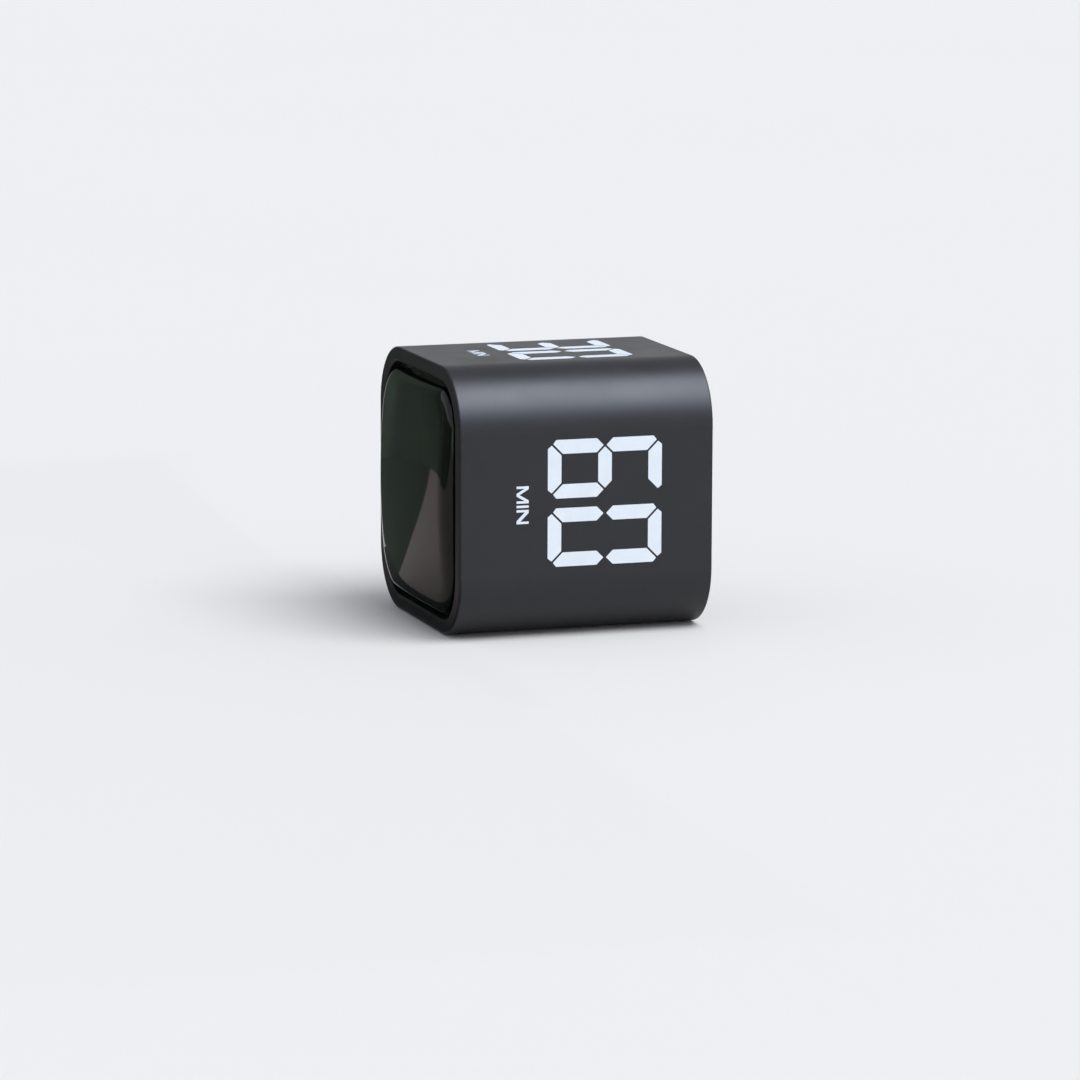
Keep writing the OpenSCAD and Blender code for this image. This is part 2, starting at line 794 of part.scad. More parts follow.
// The hollow for the cells: two round troughs, open from their axes to the door
module bay_hollow() {
    deep = cover_out - cell_axis_d;
    at_cells() translate([-bay_half_l, cell_axis_d, 0]) rotate([0, 90, 0])
        cylinder(r = trough_r, h = 2 * bay_half_l);
    block(2 * bay_half_l, 2 * bay_half_h, cell_axis_d, deep);
    block(2 * bay_half_l, 2 * cell_z, cell_axis_d - ridge_drop, deep);
}

// The slots that the contact plates slide into, with their openings and the holes for their tails
module plate_slots() {
    deep = cover_out - plate_d;
    slot = plate_t + 2 * slot_gap;
    for (side = [-1, 1]) at_cells() {
        translate([side * (contact_x + plate_t / 2), 0, 0])
            block(slot, plate_w + 2 * slot_gap, plate_d - slot_gap, deep);
        translate([side * (contact_x - slot_gap - rail_t / 2), 0, 0])
            block(rail_t + cut, rail_opening, plate_d - slot_gap, deep);
    }
    translate([contact_x + plate_t / 2, 0, 0]) block(slot, 2 * cell_z, plate_d - slot_gap, deep);
    translate([-contact_x - plate_t / 2, 0, 0]) at_cells()
        block(slot, tail_w + 2 * slot_gap, bay_front_d - cut, bay_wall + 2 * cut + 1);
}

// The opening that the door lies in, with the slots for its hinge tabs
module door_opening() {
    low = -door_half_h - latch_gap;
    high = door_half_h + hinge_gap;
    translate([0, 0, (low + high) / 2]) block(2 * (door_half_l + door_gap), high - low, door_d, door_t + cut);
    for (x = [-tab_x, tab_x]) translate([x, 0, 0]) {
        translate([0, 0, (bay_half_h + high) / 2])
            block(tab_w + 2 * move_gap, high - bay_half_h, cover_out - tab_sweep, tab_sweep);
        translate([0, 0, (bay_half_h + hinge_z + tab_l + cut) / 2 + cut])
            block(tab_w + 2 * move_gap, hinge_z + tab_l + cut - bay_half_h + 2 * cut,
                cover_out - tab_sweep, tab_sweep - cover_t);
    }
    translate([-nub_w / 2 - move_gap, nub_d, low]) rotate([0, 90, 0])
        cylinder(r = nub_r, h = nub_w + 2 * move_gap);
    translate([0, 0, low - recess_drop + recess_r]) bar(recess_r, cover_out - recess_t, recess_t + cut);
}

module switch_opening() {
    translate([0, 0, switch_z]) {
        block(2 * track_half_l, knob_h + 2 * move_gap, web_d, cover_t);
        block(lever_slot_l, lever_slot_w, cover_d - cut, cover_t);
    }
}

// The room that the bosses beside the switch leave for it
module switch_room() {
    place([0, switch_z]) block(switch_size[0] + 2 * frame_gap, switch_size[1] + 2 * frame_gap,
        switch_back_d - cut, cover_d - switch_back_d + cut);
}

module rear_cover() {
    color(case_color) in_case() difference() {
        union() {
            slab(cover_d, cover_t) round_square(cover_half, cover_r);
            slab(cover_d - skirt_l, skirt_l + cut) difference() {
                round_square(skirt_half, skirt_r);
                round_square(skirt_half - skirt_t, skirt_r - skirt_t);
            }
            for (turn = [0 : 3]) rotate([0, 90 * turn, 0]) snap_lug();
            block(2 * bay_out_l, 2 * bay_out_h, bay_front_d, cover_d - bay_front_d + cut);
            for (x = [-1, 1]) for (z = [-1, 1]) place([x * pillar_x, z * pillar_z]) pillar();
            for (x = [-1, 1]) place([x * switch_screw_x, switch_z])
                bar(small_boss_r, switch_back_d, cover_d - switch_back_d + cut);
            place([0, -buzzer_z]) bar(buzzer_r + seat_gap + ring_wall, cover_d - ring_l, ring_l + cut);
        }
        bay_hollow();
        plate_slots();
        door_opening();
        switch_opening();
        switch_room();
        for (x = [-1, 1]) place([x * switch_screw_x, switch_z])
            bar(small_screw_r + seat_gap, switch_back_d - cut, small_screw_l - switch_board_t + 2 * cut);
        place([0, -buzzer_z]) {
            bar(buzzer_r + seat_gap, cover_d - ring_l - cut, ring_l + cut);
            bar(sound_hole_r, cover_d - cut, cover_t + 2 * cut);
            for (i = [0 : sound_holes - 1]) rotate([0, 360 * i / sound_holes, 0])
                translate([sound_ring_r, 0, 0]) bar(sound_hole_r, cover_d - cut, cover_t + 2 * cut);
        }
    }
}

// The battery door

module battery_door() {
    color(case_color) in_case() {
        difference() {
            block(2 * door_half_l, 2 * door_half_h, door_d, door_t);
            for (x = [-1, 1]) place([x * (tongue_w + tongue_slot) / 2, (tongue_l - cut) / 2 - door_half_h])
                block(tongue_slot, tongue_l + cut, door_d - cut, door_t + 2 * cut);
        }
        for (x = [-tab_x, tab_x]) translate([x, 0, 0]) {
            translate([0, 0, (hinge_z - tab_root + hinge_z + tab_l) / 2])
                block(tab_w, tab_root + tab_l, tab_d, tab_t);
            translate([0, 0, (hinge_z - tab_root + door_half_h) / 2])
                block(tab_w, door_half_h - hinge_z + tab_root, tab_d, door_d - tab_d + cut);
        }
        block(2 * (bay_half_l - move_gap), stiffener_t, door_d - stiffener_h, stiffener_h + cut);
        translate([-nub_w / 2, nub_d, -door_half_h + nub_r - nub_h]) rotate([0, 90, 0])
            cylinder(r = nub_r, h = nub_w);
        for (i = [0 : grips - 1])
            translate([0, 0, -door_half_h + grip_pitch * (i + 1)])
            block(nub_w, grip_w, cover_out - cut, grip_h + cut);
    }
}

// The cells, drawn along X with the button at +X and the middle of the whole cell at 0

module cell_can() {
    body_l = cell_l - button_h;
    translate([-cell_l / 2, 0, 0]) rotate([0, 90, 0]) rotate_extrude() polygon([[0, 0], [can_r - shoulder, 0],
        [can_r, shoulder], [can_r, body_l - shoulder], [can_r - shoulder, body_l], [button_r, body_l],
        [button_r, cell_l], [0, cell_l]]);
}

module cell_jacket() {
    translate([jacket_end - cell_l / 2, 0, 0]) rotate([0, 90, 0]) difference() {
        cylinder(r = cell_r, h = cell_l - button_h - 2 * jacket_end);
        translate([0, 0, -cut]) cylinder(r = cell_r - jacket_t, h = cell_l);
    }
}

// Where a cell's middle lies: its button touches the dimple at the end that side names
module at_cell(side) {
    translate([side * (contact_x - dimple_h - cell_l / 2), cell_axis_d, -side * cell_z])
        mirror([side < 0 ? 1 : 0, 0, 0]) children();
}

module upper_cell() {
    color(metal_color) in_case() at_cell(-1) cell_can();
}

module upper_cell_jacket() {
    color("goldenrod") in_case() at_cell(-1) cell_jacket();
}

module lower_cell() {
    color(metal_color) in_case() at_cell(1) cell_can();
}

module lower_cell_jacket() {
    color("goldenrod") in_case() at_cell(1) cell_jacket();
}

// The contacts

// The spring's middle line along X, from the plate at 0 to the cell, with a straight wire at each end
spring_rings = curls * curl_rings;
spring_path = concat([[0, curl_base_r, 0]],
    [for (i = [0 : spring_rings]) let (s = i / spring_rings, a = 360 * curls * s,
            r = curl_base_r + (curl_tip_r - curl_base_r) * s)
        [2 * wire_r + (spring_l - 4 * wire_r) * s, r * cos(a), r * sin(a)]],
    [[spring_l, curl_tip_r, 0]]);
spring_starts = concat([[0, 1, 0]],
    [for (i = [0 : spring_rings]) let (a = 360 * curls * i / spring_rings) [0, cos(a), sin(a)]], [[0, 1, 0]]);
spring_end = len(spring_path) - 1;
spring_gap = min([for (i = [0 : spring_end]) for (j = [i + curl_rings / 2 : 1 : spring_end])
    norm(spring_path[i] - spring_path[j])]) - 2 * wire_r;
echo("Least gap between the curls of a contact spring, in mm:", spring_gap);

// A contact spring on the plate at the end that side names
module contact_spring(side) {
    translate([side * contact_x, cell_axis_d, side * cell_z]) rotate([0, 90 + side * 90, 0])
        tube(spring_path, spring_starts, wire_r, wire_sides);
}

module upper_contact_spring() {
    color(metal_color) in_case() contact_spring(1);
}

module lower_contact_spring() {
    color(metal_color) in_case() contact_spring(-1);
}

module plate() {
    block(plate_t, plate_w, plate_d, plate_l);
}

module dimple() {
    translate([-dimple_h, cell_axis_d, 0]) rotate([0, 90, 0])
        cylinder(r = dimple_r, h = dimple_h + plate_t / 2);
}

module link_plate() {
    color(metal_color) in_case() {
        translate([contact_x + plate_t / 2, 0, 0]) {
            at_cells() plate();
            block(plate_t, 2 * cell_z, plate_d, plate_l);
        }
        translate([contact_x, 0, -cell_z]) dimple();
    }
}

// A plate at the -X end with a tail that runs out through the bay's floor
module terminal_plate() {
    translate([-contact_x - plate_t / 2, 0, 0]) {
        plate();
        block(plate_t, tail_w, plate_d - tail_l, tail_l + cut);
    }
}

module positive_plate() {
    color(metal_color) in_case() translate([0, 0, cell_z]) {
        terminal_plate();
        mirror([1, 0, 0]) translate([contact_x, 0, 0]) dimple();
    }
}

module negative_plate() {
    color(metal_color) in_case() translate([0, 0, -cell_z]) terminal_plate();
}

// The buzzer

module buzzer_case() {
    color(chip_color) in_case() place([0, -buzzer_z]) difference() {
        bar(buzzer_r, buzzer_d, buzzer_l);
        bar(buzzer_r - buzzer_wall, buzzer_d - cut, buzzer_l / 2 + cut);
        bar(buzzer_r - 2 * buzzer_wall, buzzer_d, buzzer_l - disc_step);
        bar(buzzer_hole_r, buzzer_d, buzzer_l + cut);
    }
}

module buzzer_disc() {
    color(gold_color) in_case() place([0, -buzzer_z])
        bar(buzzer_r - buzzer_wall - seat_gap, buzzer_d + buzzer_l / 2 - disc_t, disc_t);
}

module buzzer_base() {
    rim = buzzer_l / 2 - disc_t;
    color("dimgray") in_case() place([0, -buzzer_z]) {
        bar(buzzer_r - buzzer_wall - seat_gap, buzzer_d, base_t);
        difference() {
            bar(buzzer_r - buzzer_wall - seat_gap, buzzer_d, rim);
            bar(buzzer_r - 2 * buzzer_wall, buzzer_d + base_t, rim);
        }
        for (x = [-1, 1]) translate([x * lead_pad_x, 0, 0])
            bar(buzzer_pin_r, buzzer_d - buzzer_pin_l, buzzer_pin_l + base_t / 2);
    }
}

// The switch

// Places what is drawn at the middle of the switch
module at_switch() {
    place([0, switch_z]) children();
}

module switch_board() {
    color(board_color) in_case() at_switch() difference() {
        block(switch_board_size[0], switch_board_size[1], switch_board_d, switch_board_t);
        for (x = [-1, 1]) translate([x * switch_screw_x, 0, 0])
            bar(small_screw_r + move_gap, switch_board_d - cut, switch_board_t + 2 * cut);
        at_terminals() block(terminal_w + 2 * seat_gap, terminal_t + 2 * seat_gap,
            switch_board_d - cut, switch_board_t + 2 * cut);
    }
}

module switch_board_screws() {
    color(metal_color) in_case() at_switch() for (x = [-1, 1]) translate([x * switch_screw_x, 0, 0]) {
        bar(small_head_r, switch_board_d - small_head_h, small_head_h);
        bar(small_screw_r, switch_board_d, small_screw_l);
    }
}

module switch_frame() {
    inside_l = switch_size[0] - 2 * frame_t;
    inside_w = switch_size[1] - 2 * frame_t;
    color(metal_color) in_case() at_switch() difference() {
        block(switch_size[0], switch_size[1], switch_back_d, switch_size[2]);
        block(inside_l, inside_w, switch_back_d - cut, switch_size[2] - frame_t + cut);
        block(lever_slot_l, lever_slot_w, switch_back_d, switch_size[2] + cut);
    }
}

module switch_base() {
    color("saddlebrown") in_case() at_switch() block(switch_size[0] - 2 * (frame_t + seat_gap),
        switch_size[1] - 2 * (frame_t + seat_gap), switch_back_d, base_h);
}

// What sits at each of the switch's terminals
module at_terminals() {
    for (i = [0 : terminals_n - 1]) place([(i - (terminals_n - 1) / 2) * terminal_pitch, 0]) children();
}

module switch_terminals() {
    color(gold_color) in_case() at_switch() at_terminals()
        block(terminal_w, terminal_t, switch_board_d - terminal_stub, switch_board_t + terminal_stub);
}

module switch_lever() {
    foot_d = switch_back_d + base_h + foot_gap;
    foot_t = switch_size[2] - frame_t - base_h - 2 * foot_gap;
    color("ivory") in_case() at_switch() {
        block(foot_l, switch_size[1] - 2 * (frame_t + move_gap), foot_d, foot_t);
        block(lever_w, lever_w, foot_d, lever_top - foot_d);
    }
}

module switch_knob() {
    color(case_color) in_case() at_switch() difference() {
        union() {
            block(2 * knob_half_l, knob_h, knob_d, knob_base_t);
            for (i = [0 : knob_ribs - 1])
                translate([(i / (knob_ribs - 1) - 0.5) * (knob_grip_l - grip_w), 0, 0])
                block(grip_w, knob_h, knob_d, knob_base_t + knob_grip_h);
        }
        block(lever_w + 2 * seat_gap, lever_w + 2 * seat_gap, knob_d - cut,
            lever_top - knob_d + cut + seat_gap);
    }
}

// The leads

// A lead's middle line from its back end to its front end: straight for one diameter at each
// end and bowed up between them
function lead_path(back, front, bow) =
    let (stub = [0, 2 * lead_r, 0], run = front - back + 2 * stub)
    concat([back], [for (i = [0 : lead_steps])
        let (t = i / lead_steps, s = t * t * (3 - 2 * t), b = 16 * t * t * (1 - t) * (1 - t))
        back - stub + [run[0] * s, run[1] * t, run[2] * s + bow * b]], [front]);

module lead(back, front, bow) {
    path = lead_path(back, front, bow);
    tube(path, [for (p = path) [1, 0, 0]], lead_r, lead_sides);
}

module battery_leads() {
    color("firebrick") in_case() for (z = [-1, 1])
        lead([-contact_x - plate_t / 2, plate_d - tail_l, z * cell_z],
            [battery_pad_x, board_back, z * battery_pad_z], z * lead_bow);
}

module switch_leads() {
    color("gainsboro") in_case() for (i = [-1, 0, 1])
        lead([i * lead_pitch, switch_board_d, switch_z + switch_pad_z],
            [i * lead_pitch, board_back, switch_z], -lead_bow);
}

module buzzer_leads() {
    color("gray") in_case() for (x = [-1, 1])
        lead([x * lead_pad_x, buzzer_d - buzzer_pin_l, -buzzer_z],
            [x * lead_pad_x, board_back, -buzzer_z], lead_bow);
}

housing_sleeve();
display_lens();
lens_adhesive();
light_shield();
display_reflector();
display_segments();
display_carrier();
led_chips();
display_pins();
main_board();
board_screws();
controller_chip();
chip_leads();
crystal_can();
capacitors();
resistors();
digit_transistors();
tilt_sensor_case();
tilt_sensor_contacts();
tilt_sensor_ball();
tilt_sensor_lid();
rear_cover();
battery_door();
upper_cell();
upper_cell_jacket();
lower_cell();
lower_cell_jacket();
upper_contact_spring();
lower_contact_spring();
link_plate();
positive_plate();
negative_plate();
buzzer_case();
buzzer_disc();
buzzer_base();
switch_board();
switch_board_screws();
switch_frame();
switch_base();
switch_terminals();
switch_lever();
switch_knob();
battery_leads();
switch_leads();
buzzer_leads();
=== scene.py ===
import json
import math
import bmesh
import bpy
from mathutils import Matrix, Vector


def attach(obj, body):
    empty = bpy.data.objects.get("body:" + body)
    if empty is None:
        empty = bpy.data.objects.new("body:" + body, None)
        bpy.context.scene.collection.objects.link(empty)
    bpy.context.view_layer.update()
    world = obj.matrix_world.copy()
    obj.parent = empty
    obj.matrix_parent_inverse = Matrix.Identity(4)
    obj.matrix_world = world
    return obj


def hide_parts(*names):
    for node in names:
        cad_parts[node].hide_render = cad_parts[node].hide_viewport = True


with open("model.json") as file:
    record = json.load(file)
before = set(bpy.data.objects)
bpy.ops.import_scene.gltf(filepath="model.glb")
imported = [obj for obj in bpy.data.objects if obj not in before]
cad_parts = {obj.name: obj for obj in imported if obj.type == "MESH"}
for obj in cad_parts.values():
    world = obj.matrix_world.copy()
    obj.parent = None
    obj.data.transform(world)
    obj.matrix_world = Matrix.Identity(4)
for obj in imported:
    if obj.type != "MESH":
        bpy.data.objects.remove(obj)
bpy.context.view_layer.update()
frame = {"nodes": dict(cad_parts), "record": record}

mm = 0.001
print("frame loaded:", len(frame["nodes"]), "nodes")


# camera at the photo's angle
camera = {
    "place": (1.156514, -0.384718, 0.226758),
    "right": (0.31558529, 0.94889178, 0.00321192),
    "down": (0.1619338, -0.05052057, -0.98550754),
    "ahead": (-0.93497774, 0.3115318, -0.1696012),
    "lens": 182.67,
    "sensor": 36.0,
    "near": 0.01,
    "far": 50,
}


def placeCamera(settings):
    data = bpy.data.cameras.new("camera")
    data.lens, data.sensor_width = settings["lens"], settings["sensor"]
    data.clip_start, data.clip_end = settings["near"], settings["far"]
    cam = bpy.data.objects.new("camera", data)
    bpy.context.scene.collection.objects.link(cam)
    right, up, behind = Vector(settings["right"]), -Vector(settings["down"]), -Vector(settings["ahead"])
    axes = Matrix((right, up, behind)).transposed()
    cam.matrix_world = Matrix.Translation(settings["place"]) @ axes.to_4x4()
    bpy.context.scene.camera = cam


placeCamera(camera)


# a Mix node's sockets for colours
mixFactor, mixFirst, mixSecond, mixResult = 0, 6, 7, 2


# shader maths: a wire is an output that takes part in sums
class Wire:
    def __init__(self, recipe, socket):
        self.recipe, self.socket = recipe, socket

    def __add__(self, other):
        return self.recipe.sum("ADD", self, other)

    def __radd__(self, other):
        return self.recipe.sum("ADD", other, self)

    def __sub__(self, other):
        return self.recipe.sum("SUBTRACT", self, other)

    def __rsub__(self, other):
        return self.recipe.sum("SUBTRACT", other, self)

    def __mul__(self, other):
        return self.recipe.sum("MULTIPLY", self, other)

    def __rmul__(self, other):
        return self.recipe.sum("MULTIPLY", other, self)


class Recipe:
    def __init__(self, name, kind="materials", **plain):
        self.material = getattr(bpy.data, kind).new(name)
        self.material.use_nodes = True
        self.tree = self.material.node_tree
        self.shader = next(n for n in self.tree.nodes if n.type in ("BSDF_PRINCIPLED", "BACKGROUND"))
        for socket, value in plain.items():
            self.shader.inputs[socket.replace("_", " ")].default_value = value
        self.place = self.node("ShaderNodeTexCoord", output="Object" if kind == "materials" else "Generated")

    def node(self, kind, settings=None, inputs=None, output=0):
        made = self.tree.nodes.new(kind)
        for key, value in (settings or {}).items():
            setattr(made, key, value)
        for key, value in (inputs or {}).items():
            if isinstance(value, Wire):
                self.tree.links.new(value.socket, made.inputs[key])
            else:
                made.inputs[key].default_value = value
        return Wire(self, made.outputs[output])

    def sum(self, operation, *values):
        return self.node("ShaderNodeMath", {"operation": operation}, dict(enumerate(values)))

    def noise(self, scale, detail=3.0, roughness=0.55, stretch=None):
        where = self.place
        if stretch:
            where = self.node("ShaderNodeMapping", None, {"Vector": where, "Scale": stretch}, "Vector")
        return self.node("ShaderNodeTexNoise", None,
                         {"Vector": where, "Scale": scale, "Detail": detail, "Roughness": roughness}, "Fac")

    def ramp(self, value, low, high):
        return self.node("ShaderNodeMapRange", {"clamp": True},
                         {"Value": value, "From Min": low, "From Max": high}, "Result")

    def within(self, value, reach, soft=0.00008):
        return 1 - self.ramp(self.sum("ABSOLUTE", value), reach, reach + soft)

    def axis(self, which):
        return self.node("ShaderNodeSeparateXYZ", None, {"Vector": self.place}, which)

    def blend(self, factor, first, second):
        first, second = (colour if isinstance(colour, Wire) else (*colour, 1) for colour in (first, second))
        return self.node("ShaderNodeMix", {"data_type": "RGBA"},
                         {mixFactor: factor, mixFirst: first, mixSecond: second}, mixResult)

    def drive(self, **wires):
        for socket, wire in wires.items():
            self.tree.links.new(wire.socket, self.shader.inputs[socket.replace("_", " ")])
        return self

    def bump(self, height, distance, strength=1.0):
        made = self.node("ShaderNodeBump", None,
                         {"Height": height, "Distance": distance, "Strength": strength}, "Normal")
        return self.drive(Normal=made)


# most of a noise's values lie between these two
cloudy = (0.3, 0.7)


# satin surface with a fine spark-eroded grain, and light scuffs along the ends where they are asked for
def mouldedPlastic(name, settings):
    recipe = Recipe(name, Metallic=0.0, Specular_IOR_Level=0.5)
    grain = recipe.noise(settings["grain"], detail=2.0, roughness=0.6)
    cloud = recipe.noise(settings["cloud"], detail=4.0, roughness=0.6)
    shade = recipe.ramp(cloud, *cloudy)
    colour = recipe.blend(shade, settings["dark"], settings["light"])
    if "scuffs" in settings:
        worn = settings["scuffs"]
        ends = recipe.ramp(recipe.sum("ABSOLUTE", recipe.axis("Y") - worn["middle"]), *worn["ends"])
        scratches = recipe.noise(worn["scale"], detail=6.0, roughness=0.7, stretch=worn["stretch"])
        marks = recipe.ramp(scratches, *worn["marks"])
        colour = recipe.blend(ends * marks * worn["strength"], colour, worn["colour"])
    roughness = shade * settings["spread"] + grain * settings["spread"] + settings["roughness"]
    recipe.drive(Base_Color=colour, Roughness=roughness)
    cloudLift = 0.15
    recipe.bump(grain + cloud * cloudLift, settings["depth"])
    return recipe.material


# smooth surface that a faint smear makes uneven
glossLook = {"stretch": (1, 0.4, 1), "smeared": (0.3, 0.75), "haze": 0.02}


def glossPlastic(name, settings):
    recipe = Recipe(name, Metallic=0.0)
    smear = recipe.noise(settings["smear"], detail=4.0, roughness=0.6, stretch=glossLook["stretch"])
    colour = recipe.blend(recipe.ramp(smear, *glossLook["smeared"]), settings["dark"], settings["light"])
    recipe.drive(Base_Color=colour, Roughness=smear * settings["spread"] + settings["roughness"])
    if "alpha" in settings:
        recipe.drive(Alpha=smear * glossLook["haze"] + settings["alpha"])
    recipe.bump(smear, settings["depth"])
    return recipe.material


# bright metal with dull, rougher spots
metalLook = {"spotted": (0.45, 0.7), "duller": 0.15, "rougher": 0.08}


def platedMetal(name, settings):
    recipe = Recipe(name, Specular_IOR_Level=0.5)
    stretch = settings.get("stretch", (1, 1, 1))
    brushed = recipe.noise(settings["brush"], detail=4.0, roughness=0.65, stretch=stretch)
    spots = recipe.ramp(recipe.noise(settings["spots"]), *metalLook["spotted"])
    colour = recipe.blend(spots, settings["light"], settings["dark"])
    roughness = brushed * settings["spread"] + spots * metalLook["rougher"] + settings["roughness"]
    recipe.drive(Base_Color=colour, Metallic=1.0 - spots * metalLook["duller"], Roughness=roughness)
    recipe.bump(brushed, settings["depth"])
    return recipe.material


# solder mask over copper: in patches, parallel tracks run across or upwards, elsewhere a plain pour with vias
def circuitBoard(name, settings):
    recipe = Recipe(name, Metallic=0.0, Specular_IOR_Level=0.5)

    def tracks(which):
        across = recipe.sum("FRACT", recipe.axis(which) * settings["tracksPerMetre"]) - 0.5
        return recipe.within(across, settings["gap"], settings["gapSoft"])

    cells = recipe.node("ShaderNodeTexVoronoi", {"distance": "CHEBYCHEV"},
                        {"Vector": recipe.place, "Scale": settings["patches"], "Randomness": 0.75}, "Color")
    draw = recipe.node("ShaderNodeSeparateColor", None, {"Color": cells}, "Red")
    across = 1 - recipe.ramp(draw, *settings["acrossUpTo"])
    upwards = recipe.ramp(draw, *settings["upwardsFrom"])
    copper = 1 - across * tracks("Z") - upwards * tracks("X")
    dots = recipe.node("ShaderNodeTexVoronoi", None,
                       {"Vector": recipe.place, "Scale": settings["vias"]}, "Distance")
    via, hole = (recipe.within(dots, radius, settings["viaSoft"]) for radius in settings["viaRadii"])
    weave = recipe.noise(settings["weave"], detail=2.0, roughness=0.5, stretch=(1, 1, 4))
    mask = recipe.blend(recipe.ramp(weave, *cloudy), settings["dark"], settings["light"])
    raised = copper * settings["copperLift"] + via * settings["viaLift"]
    colour = recipe.blend(raised, mask, settings["copper"])
    colour = recipe.blend(hole, colour, settings["dark"])
    recipe.drive(Base_Color=colour, Roughness=weave * settings["spread"] + settings["roughness"])
    recipe.bump(raised - hole + weave * settings["weaveLift"], settings["depth"])
    return recipe.material


# a printed cell sleeve: one colour for most of its length, a ring and a second colour by the button
def cellSleeve(name, settings):
    recipe = Recipe(name, Metallic=0.0, Coat_Weight=0.6, Coat_Roughness=0.12)
    along = recipe.axis("X") * settings["side"]
    start, soft = settings["band"], settings["edgeSoft"]
    stop = start + settings["ring"]
    band = recipe.ramp(along, start - soft, start + soft)
    ring = band * recipe.ramp(along, stop, stop - 2 * soft)
    wrinkle = recipe.noise(settings["wrinkle"], roughness=0.6, stretch=settings["stretch"])
    colour = recipe.blend(band, settings["body"], settings["end"])
    colour = recipe.blend(ring, colour, settings["line"])
    # a plus by the button and a minus by the flat end, on the sides that face the door and the board
    across, sign = recipe.axis("Z") - settings["height"], settings["sign"]
    longWay, thin = sign["reach"], sign["stroke"]
    fromPlus, fromMinus = along - sign["plusAt"], along - sign["minusAt"]
    plus = recipe.sum("MAXIMUM", recipe.within(fromPlus, longWay) * recipe.within(across, thin),
                      recipe.within(fromPlus, thin) * recipe.within(across, longWay))
    minus = recipe.within(fromMinus, thin) * recipe.within(across, longWay)
    colour = recipe.blend(plus, colour, sign["onEnd"])
    colour = recipe.blend(minus, colour, sign["onBody"])
    rubbed = recipe.ramp(wrinkle, *settings["rubbedWhere"]) * settings["rubbed"]
    colour = recipe.blend(rubbed, colour, settings["rubbedColour"])
    recipe.drive(Base_Color=colour, Roughness=wrinkle * settings["spread"] + settings["roughness"])
    recipe.bump(wrinkle, settings["depth"], strength=0.6)
    return recipe.material


